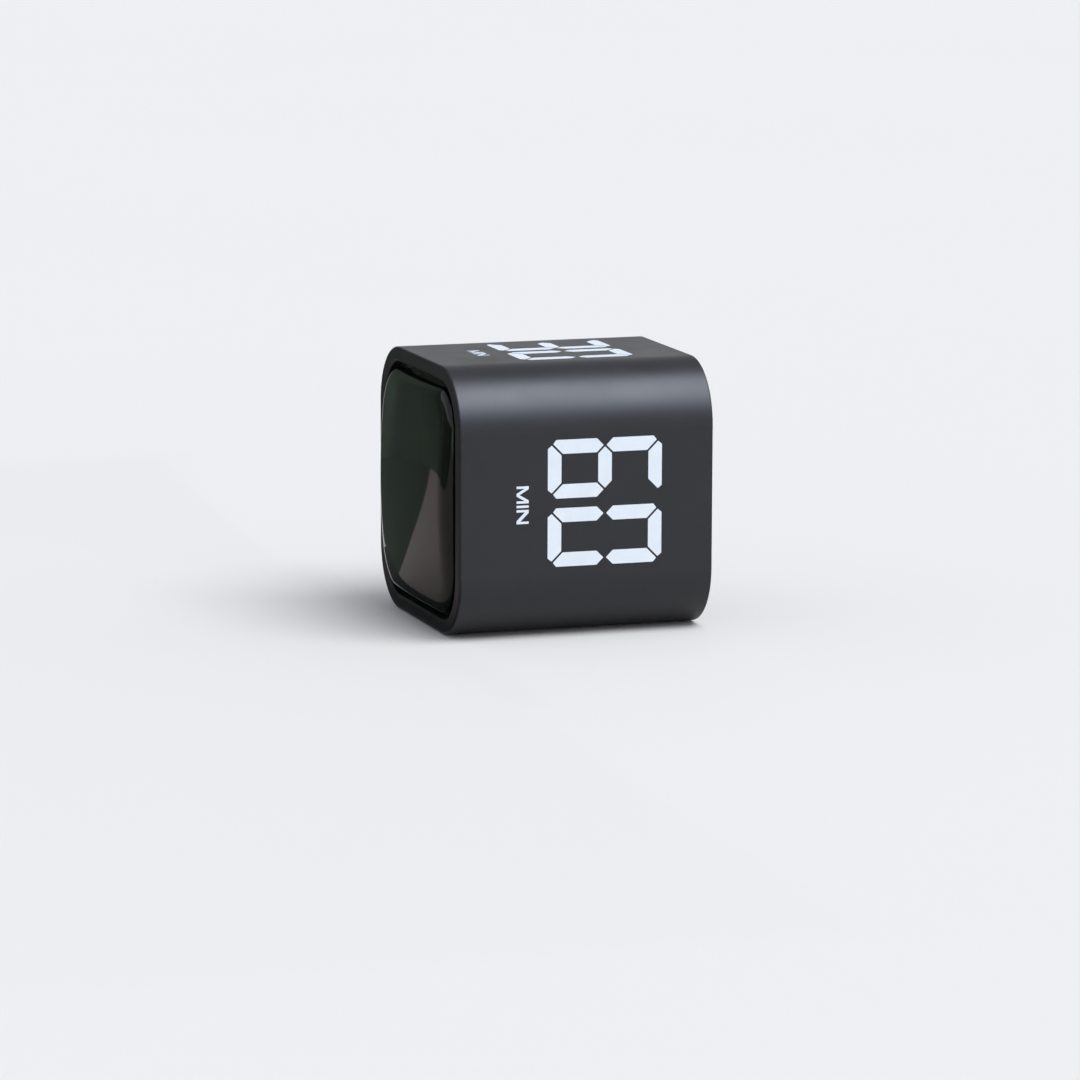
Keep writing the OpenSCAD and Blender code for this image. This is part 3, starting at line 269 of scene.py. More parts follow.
finishes = {
    "case_plastic": mouldedPlastic("caseSatinBlack", {
        "dark": (0.0030, 0.0033, 0.0062), "light": (0.0050, 0.0054, 0.0086), "grain": 4200, "cloud": 90,
        "roughness": 0.36, "spread": 0.07, "depth": 0.000012,
        "scuffs": {"middle": 0.0015, "ends": (0.0255, 0.0292), "scale": 260, "stretch": (1, 2.2, 1),
                   "marks": (0.60, 0.76), "strength": 0.14, "colour": (0.08, 0.08, 0.09)}}),
    "inner_plastic": mouldedPlastic("innerBlackPlastic", {
        "dark": (0.010, 0.010, 0.011), "light": (0.018, 0.018, 0.019), "grain": 3000, "cloud": 120,
        "roughness": 0.48, "spread": 0.08, "depth": 0.00002}),
    "lens_plastic": glossPlastic("tintedLens", {
        "dark": (0.0022, 0.0040, 0.0030), "light": (0.0030, 0.0056, 0.0041), "smear": 45, "alpha": 0.885,
        "roughness": 0.028, "spread": 0.03, "depth": 0.0000004}),
    "adhesive": mouldedPlastic("adhesiveFoam", {
        "dark": (0.012, 0.012, 0.012), "light": (0.03, 0.03, 0.03), "grain": 5200, "cloud": 900,
        "roughness": 0.7, "spread": 0.1, "depth": 0.00004}),
    "reflector_plastic": mouldedPlastic("reflectorGrey", {
        "dark": (0.030, 0.031, 0.033), "light": (0.042, 0.043, 0.045), "grain": 2600, "cloud": 200,
        "roughness": 0.5, "spread": 0.08, "depth": 0.00001}),
    "milky_filling": glossPlastic("milkyResin", {
        "dark": (0.40, 0.41, 0.38), "light": (0.50, 0.51, 0.47), "smear": 400,
        "roughness": 0.3, "spread": 0.15, "depth": 0.00001}),
    "circuit_board": circuitBoard("greenSolderMask", {
        "dark": (0.008, 0.055, 0.022), "light": (0.012, 0.072, 0.029), "copper": (0.024, 0.145, 0.052),
        "tracksPerMetre": 1150, "gap": 0.17, "gapSoft": 0.05,   # a gap's half width, as a share of the pitch
        "patches": 120, "acrossUpTo": (0.32, 0.33), "upwardsFrom": (0.66, 0.67),
        "vias": 240, "viaRadii": (0.10, 0.05), "viaSoft": 0.01,   # a via's radius and its hole's
        "copperLift": 0.6, "viaLift": 0.3, "weaveLift": 0.1,
        "weave": 1500, "roughness": 0.3, "spread": 0.15, "depth": 0.00003}),
    "led_package": glossPlastic("phosphorResin", {
        "dark": (0.62, 0.50, 0.12), "light": (0.78, 0.66, 0.22), "smear": 1500,
        "roughness": 0.25, "spread": 0.15, "depth": 0.00001}),
    "tinned_metal": platedMetal("tinnedCopper", {
        "light": (0.72, 0.73, 0.75), "dark": (0.52, 0.53, 0.54), "brush": 2600, "spots": 700,
        "roughness": 0.26, "spread": 0.16, "depth": 0.00001}),
    "plated_steel": platedMetal("nickelPlate", {
        "light": (0.70, 0.68, 0.64), "dark": (0.53, 0.51, 0.47), "brush": 1800, "spots": 300,
        "stretch": (1, 0.12, 1), "roughness": 0.20, "spread": 0.16, "depth": 0.000008}),
    "chip_resin": mouldedPlastic("mouldingResin", {
        "dark": (0.016, 0.016, 0.017), "light": (0.026, 0.026, 0.028), "grain": 6000, "cloud": 500,
        "roughness": 0.45, "spread": 0.1, "depth": 0.00001}),
    "capacitor_sleeve": glossPlastic("blueSleeve", {
        "dark": (0.008, 0.012, 0.05), "light": (0.012, 0.018, 0.07), "smear": 500,
        "roughness": 0.22, "spread": 0.15, "depth": 0.00001}),
    "sensor_plastic": mouldedPlastic("brownPhenolic", {
        "dark": (0.085, 0.030, 0.013), "light": (0.13, 0.05, 0.02), "grain": 2500, "cloud": 500,
        "roughness": 0.4, "spread": 0.1, "depth": 0.00001}),
    "gold_contact": platedMetal("brassContact", {
        "light": (0.80, 0.58, 0.22), "dark": (0.55, 0.37, 0.12), "brush": 2200, "spots": 500,
        "roughness": 0.2, "spread": 0.16, "depth": 0.000008}),
    "cell_metal": platedMetal("cellCan", {
        "light": (0.74, 0.74, 0.73), "dark": (0.56, 0.56, 0.55), "brush": 1600, "spots": 250,
        "roughness": 0.2, "spread": 0.14, "depth": 0.000006}),
    "lever_plastic": mouldedPlastic("whiteAcetal", {
        "dark": (0.62, 0.60, 0.55), "light": (0.72, 0.70, 0.65), "grain": 2600, "cloud": 300,
        "roughness": 0.35, "spread": 0.1, "depth": 0.00001}),
    "red_lead": glossPlastic("redInsulation", {
        "dark": (0.36, 0.012, 0.010), "light": (0.47, 0.022, 0.016), "smear": 700,
        "roughness": 0.34, "spread": 0.15, "depth": 0.00001}),
    "pale_lead": glossPlastic("whiteInsulation", {
        "dark": (0.58, 0.58, 0.55), "light": (0.70, 0.70, 0.67), "smear": 700,
        "roughness": 0.34, "spread": 0.15, "depth": 0.00001}),
    "grey_lead": glossPlastic("greyInsulation", {
        "dark": (0.13, 0.13, 0.14), "light": (0.19, 0.19, 0.20), "smear": 700,
        "roughness": 0.34, "spread": 0.15, "depth": 0.00001}),
}
sleeveBlue, sleeveSilver = (0.012, 0.035, 0.075), (0.62, 0.63, 0.64)
sleeveLook = {
    "body": sleeveBlue, "end": sleeveSilver, "line": (0.55, 0.33, 0.02),
    "band": 0.0125, "ring": 0.0012, "edgeSoft": 0.00005,
    "sign": {"plusAt": 0.0172, "minusAt": -0.0162, "reach": 0.0013, "stroke": 0.00027,
             "onEnd": sleeveBlue, "onBody": sleeveSilver},
    "wrinkle": 900, "stretch": (0.15, 1, 1), "rubbedWhere": (0.2, 0.8), "rubbed": 0.07,
    "rubbedColour": (0.9, 0.9, 0.9), "roughness": 0.26, "spread": 0.12, "depth": 0.00002}
finishes["upper_cell_jacket"] = cellSleeve("cellSleeveUpper", {**sleeveLook, "side": -1, "height": 0.03565})
finishes["lower_cell_jacket"] = cellSleeve("cellSleeveLower", {**sleeveLook, "side": 1, "height": 0.02435})
finishes["black_lead"] = glossPlastic("blackInsulation", {
    "dark": (0.010, 0.010, 0.011), "light": (0.020, 0.020, 0.021), "smear": 700,
    "roughness": 0.36, "spread": 0.15, "depth": 0.00001})
finishes["solder"] = platedMetal("softSolder", {
    "light": (0.66, 0.67, 0.70), "dark": (0.46, 0.47, 0.50), "brush": 1500, "spots": 900,
    "roughness": 0.18, "spread": 0.20, "depth": 0.00001})

slotOf = {part["node"]: part["material_slot"] for part in frame["record"]["subparts"]}
for name, node in frame["nodes"].items():
    look = finishes.get(name) or finishes[slotOf[name]]
    if not node.material_slots:
        node.data.materials.append(look)
    for place in node.material_slots:
        place.material = look
print("finishes:", len(finishes))


bodyOf = {node: body for body, nodes in frame["record"]["behaviour"]["bodies"].items() for node in nodes}
weldReach = 1e-7   # points closer than this are one, in metres
poleReach = 1e-4   # the same while a piece is still in millimetres
caseHalf = 30.0


def vertsOf(geom):
    return [part for part in geom if isinstance(part, bmesh.types.BMVert)]


def quarterTurns(turns, axis):
    return Matrix.Rotation(math.radians(90 * turns), 3, axis)


# turns a bmesh into a piece that rides on a body
def finishPiece(bm, name, body, look, slot=None, standsFor=(), smooth=True):
    bmesh.ops.remove_doubles(bm, verts=bm.verts, dist=weldReach)
    bmesh.ops.recalc_face_normals(bm, faces=bm.faces)
    mesh = bpy.data.meshes.new(name)
    bm.to_mesh(mesh)
    bm.free()
    piece = bpy.data.objects.new(name, mesh)
    bpy.context.scene.collection.objects.link(piece)
    for face in mesh.polygons:
        face.use_smooth = smooth
    mesh.materials.append(look)
    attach(piece, body)
    if standsFor:
        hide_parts(*standsFor)
    return piece


# a copy of a CAD node with its sharp edges broken: angles in degrees, welding in metres
edgeLook = {"weld": 1e-6, "flatWithin": 0.5, "sharpFrom": 38, "segments": 2, "profile": 0.5, "weight": 80}


def softened(node, name, width, settings):
    bm = bmesh.new()
    bm.from_mesh(frame["nodes"][node].data)
    bmesh.ops.remove_doubles(bm, verts=bm.verts, dist=settings["weld"])
    flat = math.radians(settings["flatWithin"])
    bmesh.ops.dissolve_limit(bm, angle_limit=flat, verts=bm.verts, edges=bm.edges)
    piece = finishPiece(bm, name, bodyOf[node], finishes[slotOf[node]], slotOf[node], [node])
    edge = piece.modifiers.new("brokenEdges", "BEVEL")
    edge.width, edge.segments, edge.profile = width * mm, settings["segments"], settings["profile"]
    edge.limit_method, edge.angle_limit = "ANGLE", math.radians(settings["sharpFrom"])
    edge.use_clamp_overlap = True
    even = piece.modifiers.new("evenNormals", "WEIGHTED_NORMAL")
    even.mode, even.weight, even.keep_sharp = "FACE_AREA", settings["weight"], True


# the domed lens: one outline, raised ring by ring
lens = {
    "flangeHalf": 27.85, "flangeRound": 11.85, "borderHalf": 25.1, "thick": 1.8,
    "flangeFront": 2.25, "flangeBack": 3.75, "borderDepth": 0.4,
    "rise": 2.5, "riseWidth": 4.5, "crown": 0.9, "cornerFall": 0.8,
    "cornerSteps": 16, "sideCuts": 15, "edgeRings": 14, "crownRings": 18,
    "sharpFrom": 40, "sliver": 1e-14,   # the least area of a face, in square metres
}
rimY, midZ = -28.0, caseHalf


# how far a point lies inside a square with round corners
def insetOf(x, z, half, corner):
    across, up = abs(x) - half + corner, abs(z) - half + corner
    return corner - math.hypot(max(across, 0), max(up, 0)) - min(max(across, up), 0)


# a rolled edge that falls away towards the corners, under a slight crown
def lensHeight(x, z, below, settings):
    half = settings["borderHalf"]
    corner = settings["flangeRound"] - settings["flangeHalf"] + half
    inset = max(0, insetOf(x, z, half - below, corner - below))
    roll = settings["rise"] * math.sqrt(1 - (1 - min(inset / settings["riseWidth"], 1)) ** 3)
    fall = settings["cornerFall"] * (x * z / half ** 2) ** 2
    crown = settings["crown"] * max(0, 1 - (x / half) ** 2) * max(0, 1 - (z / half) ** 2)
    return settings["borderDepth"] - roll * (1 - fall) - crown


# insets a face and returns the ring of points that it leaves behind
def innerFace(bm, face, inset):
    rim = bmesh.ops.inset_region(bm, faces=[face], thickness=inset, use_even_offset=True,
                                 use_boundary=True)["faces"]
    return {vert for side in rim for vert in side.verts} - set(face.verts)


def liftedFace(bm, face, depth):
    raised = bmesh.ops.extrude_discrete_faces(bm, faces=[face])["faces"][0]
    for vert in raised.verts:
        vert.co.y = depth
    return raised


# rings are drawn flat, and each then rises to its place on the dome
def domeFrom(bm, face, settings, below):
    rings, done = [], 0.0
    for step in range(1, settings["edgeRings"] + 1):
        inset = settings["riseWidth"] * (step / settings["edgeRings"]) ** 2
        rings.append(innerFace(bm, face, inset - done))
        done = inset
    rings.append(list(face.verts))
    for step in range(1, settings["crownRings"]):
        share = (settings["crownRings"] - step) / (settings["crownRings"] - step + 1)
        face = bmesh.ops.extrude_discrete_faces(bm, faces=[face])["faces"][0]
        bmesh.ops.scale(bm, vec=(share, 1, share), verts=face.verts)
        rings.append(list(face.verts))
    rings.append(bmesh.ops.poke(bm, faces=[face])["verts"])
    for vert in (v for ring in rings for v in ring):
        vert.co.y = lensHeight(vert.co.x, vert.co.z, below, settings) + below


def makeLens(settings):
    bm = bmesh.new()
    bmesh.ops.create_grid(bm, x_segments=1, y_segments=1, size=settings["flangeHalf"])
    bmesh.ops.rotate(bm, cent=(0, 0, 0), matrix=quarterTurns(1, "X"), verts=bm.verts)
    bmesh.ops.bevel(bm, geom=list(bm.verts), affect="VERTICES", offset=settings["flangeRound"],
                    segments=settings["cornerSteps"], profile=0.5, material=-1)
    longSides = [e for e in bm.edges if e.calc_length() > settings["flangeHalf"] / 2]
    bmesh.ops.subdivide_edges(bm, edges=longSides, cuts=settings["sideCuts"])
    for vert in bm.verts:
        vert.co.y = settings["flangeBack"]
    bm.faces.ensure_lookup_table()
    back = bm.faces[0]
    copied = bmesh.ops.duplicate(bm, geom=[back])["geom"]
    front = next(part for part in copied if isinstance(part, bmesh.types.BMFace))
    # outside: flange wall, flange face, border wall, dome
    face = liftedFace(bm, front, settings["flangeFront"])
    margin = settings["flangeHalf"] - settings["borderHalf"]
    innerFace(bm, face, margin)
    face = liftedFace(bm, face, settings["borderDepth"])
    domeFrom(bm, face, settings, 0)
    # inside: the same dome from the back, one wall further in
    innerFace(bm, back, margin + settings["thick"])
    face = liftedFace(bm, back, settings["borderDepth"] + settings["thick"])
    domeFrom(bm, face, settings, settings["thick"])
    bmesh.ops.translate(bm, vec=(0, rimY, midZ), verts=bm.verts)
    bmesh.ops.scale(bm, vec=(mm, mm, mm), verts=bm.verts)
    bmesh.ops.remove_doubles(bm, verts=bm.verts, dist=weldReach)
    slivers = [face for face in bm.faces if face.calc_area() < settings["sliver"]]
    bmesh.ops.delete(bm, geom=slivers, context="FACES")
    look = finishes["lens_plastic"]
    piece = finishPiece(bm, "tintedWindow", "case", look, slot="lens_plastic", standsFor=["display_lens"])
    piece.data.set_sharp_from_angle(angle=math.radians(settings["sharpFrom"]))


makeLens(lens)
print("lens made")


# numerals: seven-segment figures with mitred corners, and a small unit word below them
numerals = {
    "width": 13.05, "height": 26.54, "stroke": 3.15, "between": 2.16, "base": -7.75,
    "gap": 0.225, "tip": 0.9, "tipCut": 0.72, "blunt": 0.12, "proud": 0.02, "sunk": 0.005,
    "figures": {"0": "abcdef", "1": "bc", "3": "abgcd", "5": "afgcd", "6": "afgedc"},
    "faces": {   # figures, quarter turns from the right side, shift across and to the back
        "numeralsRight": ("60", 0, -0.35, 0.15), "numeralsTop": ("30", 1, -0.9, -0.2),
        "numeralsLeft": ("15", 2, 0, 0), "numeralsBottom": ("5", 3, 0, 0)},
    "wordBase": -14.96, "wordHeight": 2.8, "wordSpace": 0.16,
}
stem = 0.19
wordOutlines = [   # each letter's width and outline, for a height of 1
    (1.36, [(0, 0), (stem, 0), (stem, 0.66), (0.57, 0), (0.79, 0), (1.17, 0.66), (1.17, 0), (1.36, 0),
            (1.36, 1), (1.12, 1), (0.68, 0.24), (0.24, 1), (0, 1)]),
    (stem, [(0, 0), (stem, 0), (stem, 1), (0, 1)]),
    (1.12, [(0, 0), (stem, 0), (stem, 0.68), (0.88, 0), (1.12, 0), (1.12, 1), (0.93, 1), (0.93, 0.32),
            (0.24, 1), (0, 1)]),
]


# a segment along its own line: the outer edge at y = 0, the inner edge at y = stroke
def segmentOutline(length, mitredStart, mitredEnd, outer, settings):
    stroke, gap, tip = settings["stroke"], settings["gap"] * math.sqrt(2), settings["tip"]
    middle = stroke / 2

    def endPoints(mitred):
        if mitred and outer:   # a corner of the figure, its outer tip cut off
            return [(tip + gap + settings["tipCut"], 0), (tip + gap, tip), (stroke + gap, stroke)]
        return [(middle + gap, 0), (gap, middle), (middle + gap, stroke)]

    return endPoints(mitredStart)[::-1] + [(length - x, y) for x, y in endPoints(mitredEnd)]


def figureOutlines(digit, settings):
    wide, high, stroke = settings["width"], settings["height"], settings["stroke"]
    across = segmentOutline(wide, True, True, True, settings)
    upright = segmentOutline(high / 2, True, False, True, settings)
    bar = segmentOutline(wide - stroke, False, False, False, settings)
    outlines = {
        "a": [(x, high - y) for x, y in across],
        "d": across,
        "g": [(stroke / 2 + x, high / 2 - stroke / 2 + y) for x, y in bar],
        "f": [(y, high - x) for x, y in upright],
        "b": [(wide - y, high - x) for x, y in upright],
        "e": [(y, x) for x, y in upright],
        "c": [(wide - y, x) for x, y in upright],
    }
    return [outlines[name] for name in settings["figures"][digit]]


# a side's figures next to each other, with their middle at x = 0
def figuresInRow(digits, settings):
    widths = [settings["stroke"] if digit == "1" else settings["width"] for digit in digits]
    left = -(sum(widths) + settings["between"] * (len(digits) - 1)) / 2
    outlines = []
    for digit, width in zip(digits, widths):
        shift = left - (settings["width"] - width)   # a 1 stands at the right of its field
        outlines += [[(x + shift, y + settings["base"]) for x, y in outline]
                     for outline in figureOutlines(digit, settings)]
        left += width + settings["between"]
    return outlines


def wordInRow(settings):
    size, space = settings["wordHeight"], settings["wordSpace"]
    left = -(sum(width for width, outline in wordOutlines) + space * (len(wordOutlines) - 1)) * size / 2
    outlines = []
    for width, outline in wordOutlines:
        outlines.append([(left + x * size, settings["wordBase"] + y * size) for x, y in outline])
        left += (width + space) * size
    return outlines


# flat print becomes a layer that reaches a hair below the surface and stands a hair proud of it
def raisePrint(bm, settings):
    raised = bmesh.ops.extrude_face_region(bm, geom=list(bm.faces))["geom"]
    bmesh.ops.translate(bm, vec=(0, 0, settings["proud"] + settings["sunk"]), verts=vertsOf(raised))


# print lies in X and Y, faces +Z and is read with +Y up; it goes to one side of the case
def printOnSide(name, outlines, side, settings, blunt=0.0):
    turns, across, back = side
    bm = bmesh.new()
    for outline in outlines:
        face = bm.faces.new([bm.verts.new((x + across, y + back, 0)) for x, y in outline])
        if blunt:
            bmesh.ops.bevel(bm, geom=list(face.verts), affect="VERTICES", offset=blunt, segments=2,
                            profile=0.5, material=-1)
    raisePrint(bm, settings)
    bmesh.ops.translate(bm, vec=(0, 0, caseHalf - settings["sunk"]), verts=bm.verts)
    bmesh.ops.rotate(bm, cent=(0, 0, 0), matrix=quarterTurns(1 - turns, "Y"), verts=bm.verts)
    bmesh.ops.translate(bm, vec=(0, 0, midZ), verts=bm.verts)
    bmesh.ops.scale(bm, vec=(mm, mm, mm), verts=bm.verts)
    finishPiece(bm, name, "case", finishes["print_white"], smooth=False)


# screen-printed white: a little thin in places, with dark specks of the grain showing through
whiteLook = {
    "dark": (0.72, 0.79, 0.87), "light": (0.77, 0.84, 0.92), "cover": 260,
    "speck": 5200, "specksFrom": (0.56, 0.74), "speckStrength": 0.22, "speckColour": (0.46, 0.50, 0.55),
    "roughness": 0.5, "spread": 0.12, "depth": 0.000006,
}


def printWhite(settings):
    recipe = Recipe("printedWhite", Metallic=0.0)
    speckle = recipe.noise(settings["speck"], detail=2.0, roughness=0.6)
    cover = recipe.noise(settings["cover"], detail=4.0, roughness=0.6)
    thin = recipe.ramp(speckle, *settings["specksFrom"]) * settings["speckStrength"]
    colour = recipe.blend(recipe.ramp(cover, *cloudy), settings["dark"], settings["light"])
    colour = recipe.blend(thin, colour, settings["speckColour"])
    recipe.drive(Base_Color=colour, Roughness=cover * settings["spread"] + settings["roughness"])
    recipe.bump(speckle, settings["depth"])
    return recipe.material


finishes["print_white"] = printWhite(whiteLook)
for name, (digits, *side) in numerals["faces"].items():
    printOnSide(name, figuresInRow(digits, numerals), side, numerals, numerals["blunt"])
    printOnSide(name.replace("numerals", "unitWord"), wordInRow(numerals), side, numerals)
print("numerals made")


# moulded and pressed pieces with broken edges: name, width of the edge
brokenEdges = {
    "rear_cover": ("rearCover", 0.18), "battery_door": ("batteryDoor", 0.2),
    "switch_knob": ("switchKnob", 0.16),
    "link_plate": ("linkPlate", 0.08), "positive_plate": ("positivePlate", 0.08),
    "negative_plate": ("negativePlate", 0.08),
    "controller_chip": ("controllerChip", 0.12), "crystal_can": ("crystalCan", 0.2),
    "capacitors": ("capacitorPair", 0.25), "resistors": ("chipResistors", 0.05),
    "digit_transistors": ("driverTransistors", 0.08), "buzzer_case": ("buzzerCase", 0.25),
    "tilt_sensor_case": ("tiltSensorCase", 0.15), "tilt_sensor_lid": ("tiltSensorLid", 0.1),
    "switch_frame": ("switchFrame", 0.06), "switch_base": ("switchBase", 0.1),
    "switch_lever": ("switchLever", 0.15),
}
for node, (name, width) in brokenEdges.items():
    softened(node, name, width, edgeLook)
print("edges broken")


# wires: a disc pushed along a path, turning with it at each point
def wireAlong(bm, path, radius, sides=12):
    path = [Vector(point) for point in path]
    steps = [(b - a).normalized() for a, b in zip(path, path[1:])]
    facing = [steps[0]] + [(a + b).normalized() for a, b in zip(steps, steps[1:])] + [steps[-1]]
    disc = bmesh.ops.create_circle(bm, cap_ends=True, radius=radius, segments=sides)["verts"]
    upright = Vector((0, 0, 1)).rotation_difference(facing[0]).to_matrix()
    bmesh.ops.rotate(bm, cent=(0, 0, 0), matrix=upright, verts=disc)
    bmesh.ops.translate(bm, vec=path[0], verts=disc)
    face = disc[0].link_faces[0]
    bmesh.ops.duplicate(bm, geom=[face])   # this copy stays behind and closes the first end
    for i in range(1, len(path)):
        face = bmesh.ops.extrude_discrete_faces(bm, faces=[face])["faces"][0]
        bmesh.ops.translate(bm, vec=path[i] - path[i - 1], verts=face.verts)
        turn = facing[i - 1].rotation_difference(facing[i]).to_matrix()
        bmesh.ops.rotate(bm, cent=path[i], matrix=turn, verts=face.verts)


# a small piece of the case's body, drawn in millimetres
def finishSmall(bm, name, look, **rest):
    sharpFrom = 50
    bmesh.ops.scale(bm, vec=(mm, mm, mm), verts=bm.verts)
    piece = finishPiece(bm, name, "case", finishes[look], **rest)
    piece.data.set_sharp_from_angle(angle=math.radians(sharpFrom))


# conical contact springs: a flat turn on the plate, three open turns, a flat turn under the cell
contactSpring = {
    "contact": 24.6, "axisY": 23.05, "cellRise": 5.65, "wire": 0.25, "stepsPerTurn": 28,
    # turn, distance from the plate, radius
    "shape": [(-0.75, 0.25, 3.3), (0, 0.5, 3.3), (3, 3.6, 2.0), (3.75, 3.85, 2.0)],
    # node, side of the bay
    "springs": {"upperSpring": ("upper_contact_spring", 1), "lowerSpring": ("lower_contact_spring", -1)},
}


def springPath(side, settings):
    path, shape = [], settings["shape"]
    count = int((shape[-1][0] - shape[0][0]) * settings["stepsPerTurn"])
    for step in range(count + 1):
        turn = shape[0][0] + step / settings["stepsPerTurn"]
        start, end = next((a, b) for a, b in zip(shape, shape[1:]) if turn <= b[0] + 1e-6)
        share = (turn - start[0]) / (end[0] - start[0])
        out, radius = (start[k] + (end[k] - start[k]) * share for k in (1, 2))
        angle = 2 * math.pi * turn
        path.append((side * (settings["contact"] - out), settings["axisY"] + radius * math.cos(angle),
                     midZ + side * (settings["cellRise"] - radius * math.sin(angle))))
    return path


for name, (node, side) in contactSpring["springs"].items():
    bm = bmesh.new()
    wireAlong(bm, springPath(side, contactSpring), contactSpring["wire"])
    finishSmall(bm, name, "plated_steel", slot="plated_steel", standsFor=[node])
print("springs wound")


# faces that carry solder and screws, along Y: the main board's back and the switch board's front
boardBack, switchBoardFront = -13.65, 22.8

leads = {
    "radius": 0.6, "straight": 1.2, "steps": 28,
    # finish, node, and for each lead its back end, its place in the main board and how far it bows up
    "sets": {
        "redBatteryLead": ("red_lead", "battery_leads", [((-24.8, 14.1, 35.65), (-23.2, 39.65), 1.2)]),
        "blackBatteryLead": ("black_lead", "battery_leads", [((-24.8, 14.1, 24.35), (-23.2, 20.35), -1.2)]),
        "switchLeads": ("pale_lead", "switch_leads",
                        [((x, switchBoardFront, 52.0), (x, 49.4), -1.2) for x in (-3, 0, 3)]),
        "buzzerLeads": ("grey_lead", "buzzer_leads",
                        [((x, 20.0, 10.6), (x, 10.6), 1.2) for x in (-2.5, 2.5)]),
    },
}


def leadPath(back, front, bow, settings):
    straight, steps = Vector((0, settings["straight"], 0)), settings["steps"]
    start = Vector(back) - straight
    run = Vector(front) + straight - start
    path = [Vector(back)]
    for step in range(steps + 1):
        t = step / steps
        ease, bump = t * t * (3 - 2 * t), 16 * t * t * (1 - t) ** 2
        path.append(start + Vector((run.x * ease, run.y * t, run.z * ease + bow * bump)))
    return path + [Vector(front)]


for name, (look, node, ends) in leads["sets"].items():
    bm = bmesh.new()
    for back, (x, z), bow in ends:
        wireAlong(bm, leadPath(back, (x, boardBack, z), bow, leads), leads["radius"])
    # the record has one slot for both battery leads, so the black one names none
    finishSmall(bm, name, look, slot=None if look == "black_lead" else look, standsFor=[node])
print("leads laid")


# solder: a cone with a hollow flank round every lead and pin
solder = {
    "steps": 20,
    "leadCone": [(0, 0), (1.35, 0), (1.2, 0.08), (0.92, 0.3), (0.74, 0.62), (0.64, 1.05), (0, 1.15)],
    "pinCone": [(0, 0), (0.8, 0), (0.72, 0.05), (0.5, 0.2), (0.36, 0.48), (0.28, 0.85), (0, 0.92)],
    "pinPitch": 2.54, "pinRows": 15.24, "pinsInRow": 6,
}


# a profile of radius and height, turned about an axis along Y
def turned(bm, profile, place, way, steps):
    x, y, z = place
    verts = [bm.verts.new((x + radius, y + way * height, z)) for radius, height in profile]
    edges = [bm.edges.new(pair) for pair in zip(verts, verts[1:])]
    bmesh.ops.spin(bm, geom=verts + edges, cent=place, axis=(0, 1, 0), angle=2 * math.pi, steps=steps,
                   use_merge=True)
    bmesh.ops.remove_doubles(bm, verts=bm.verts, dist=poleReach)


bm = bmesh.new()
for look, node, ends in leads["sets"].values():
    for back, (x, z), bow in ends:
        turned(bm, solder["leadCone"], (x, boardBack, z), 1, solder["steps"])
for place, hole, bow in leads["sets"]["switchLeads"][2]:
    turned(bm, solder["leadCone"], place, -1, solder["steps"])
for row in (-0.5, 0.5):
    for pin in range(solder["pinsInRow"]):
        x = (pin - (solder["pinsInRow"] - 1) / 2) * solder["pinPitch"]
        turned(bm, solder["pinCone"], (x, boardBack, midZ + row * solder["pinRows"]), 1, solder["steps"])
finishSmall(bm, "solderCones", "solder", slot="tinned_metal")
print("solder added")


# pan-head screws: turned, with a cross pressed into the top
screws = {
    "sides": 32, "pitch": 0.62, "thread": 0.14, "tip": 0.5,
    # from here on in shares of the head's radius, of its height, or of the shank's radius
    "arm": 0.5, "armWidth": 0.14, "recess": 0.6, "taper": 0.6, "point": 0.3,
    "head": [(1, 0), (1, 0.35), (0.95, 0.68), (0.83, 0.92), (0.68, 1)],
    # seat and way of the head along Y, radius and length of the shank, radius and height of the head
    "sets": {
        "boardScrews": {
            "node": "board_screws", "holes": [(-21, 9), (21, 9), (-21, 51), (21, 51)],
            "seat": boardBack, "way": 1, "shank": (0.75, 6.5), "head": (1.9, 1.2)},
        "switchBoardScrews": {
            "node": "switch_board_screws", "holes": [(-8.9, 49.4), (8.9, 49.4)],
            "seat": switchBoardFront, "way": -1, "shank": (0.65, 4.4), "head": (1.5, 1.0)},
    },
}


# from the tip up: a blunt end, rings of thread, a plain neck under the head, the head
def screwProfile(radius, length, wide, tall, settings):
    core, pitch = radius - settings["thread"], settings["pitch"]
    profile, height = [(0, -length), (radius * settings["point"], -length)], settings["tip"] - length
    while height < -1.5 * pitch:
        profile += [(core, height), (radius, height + pitch / 2)]
        height += pitch
    return profile + [(core, height), (core, 0)] + [(wide * out, tall * up) for out, up in settings["head"]]


def pressCross(bm, wide, tall, settings):
    openEdges = [edge for edge in bm.edges if len(edge.link_faces) == 1]
    top = bmesh.ops.contextual_create(bm, geom=openEdges)["faces"][0]
    arm, width, margin = wide * settings["arm"], wide * settings["armWidth"], 0.01
    innerFace(bm, top, wide * settings["head"][-1][0] - arm)

    def inField(vert):
        return abs(vert.co.y - tall) < poleReach and math.hypot(vert.co.x, vert.co.z) < arm + margin

    def fieldFaces():
        return [face for face in bm.faces if all(inField(vert) for vert in face.verts)]

    for across in ((1, 0, 0), (0, 0, 1)):
        for side in (-width, width):
            field = fieldFaces()
            parts = list({part for face in field for part in (*face.verts, *face.edges)}) + field
            bmesh.ops.bisect_plane(bm, geom=parts, dist=1e-5, plane_co=Vector(across) * side, plane_no=across)
    middles = [(face, face.calc_center_median()) for face in fieldFaces()]
    cross = [face for face, middle in middles if min(abs(middle.x), abs(middle.z)) < width]
    edges = list({edge for face in cross for edge in face.edges})
    pressed = vertsOf(bmesh.ops.extrude_face_region(bm, geom=cross + edges)["geom"])
    bmesh.ops.translate(bm, vec=(0, -tall * settings["recess"], 0), verts=pressed)
    bmesh.ops.scale(bm, vec=(settings["taper"], 1, settings["taper"]), verts=pressed)


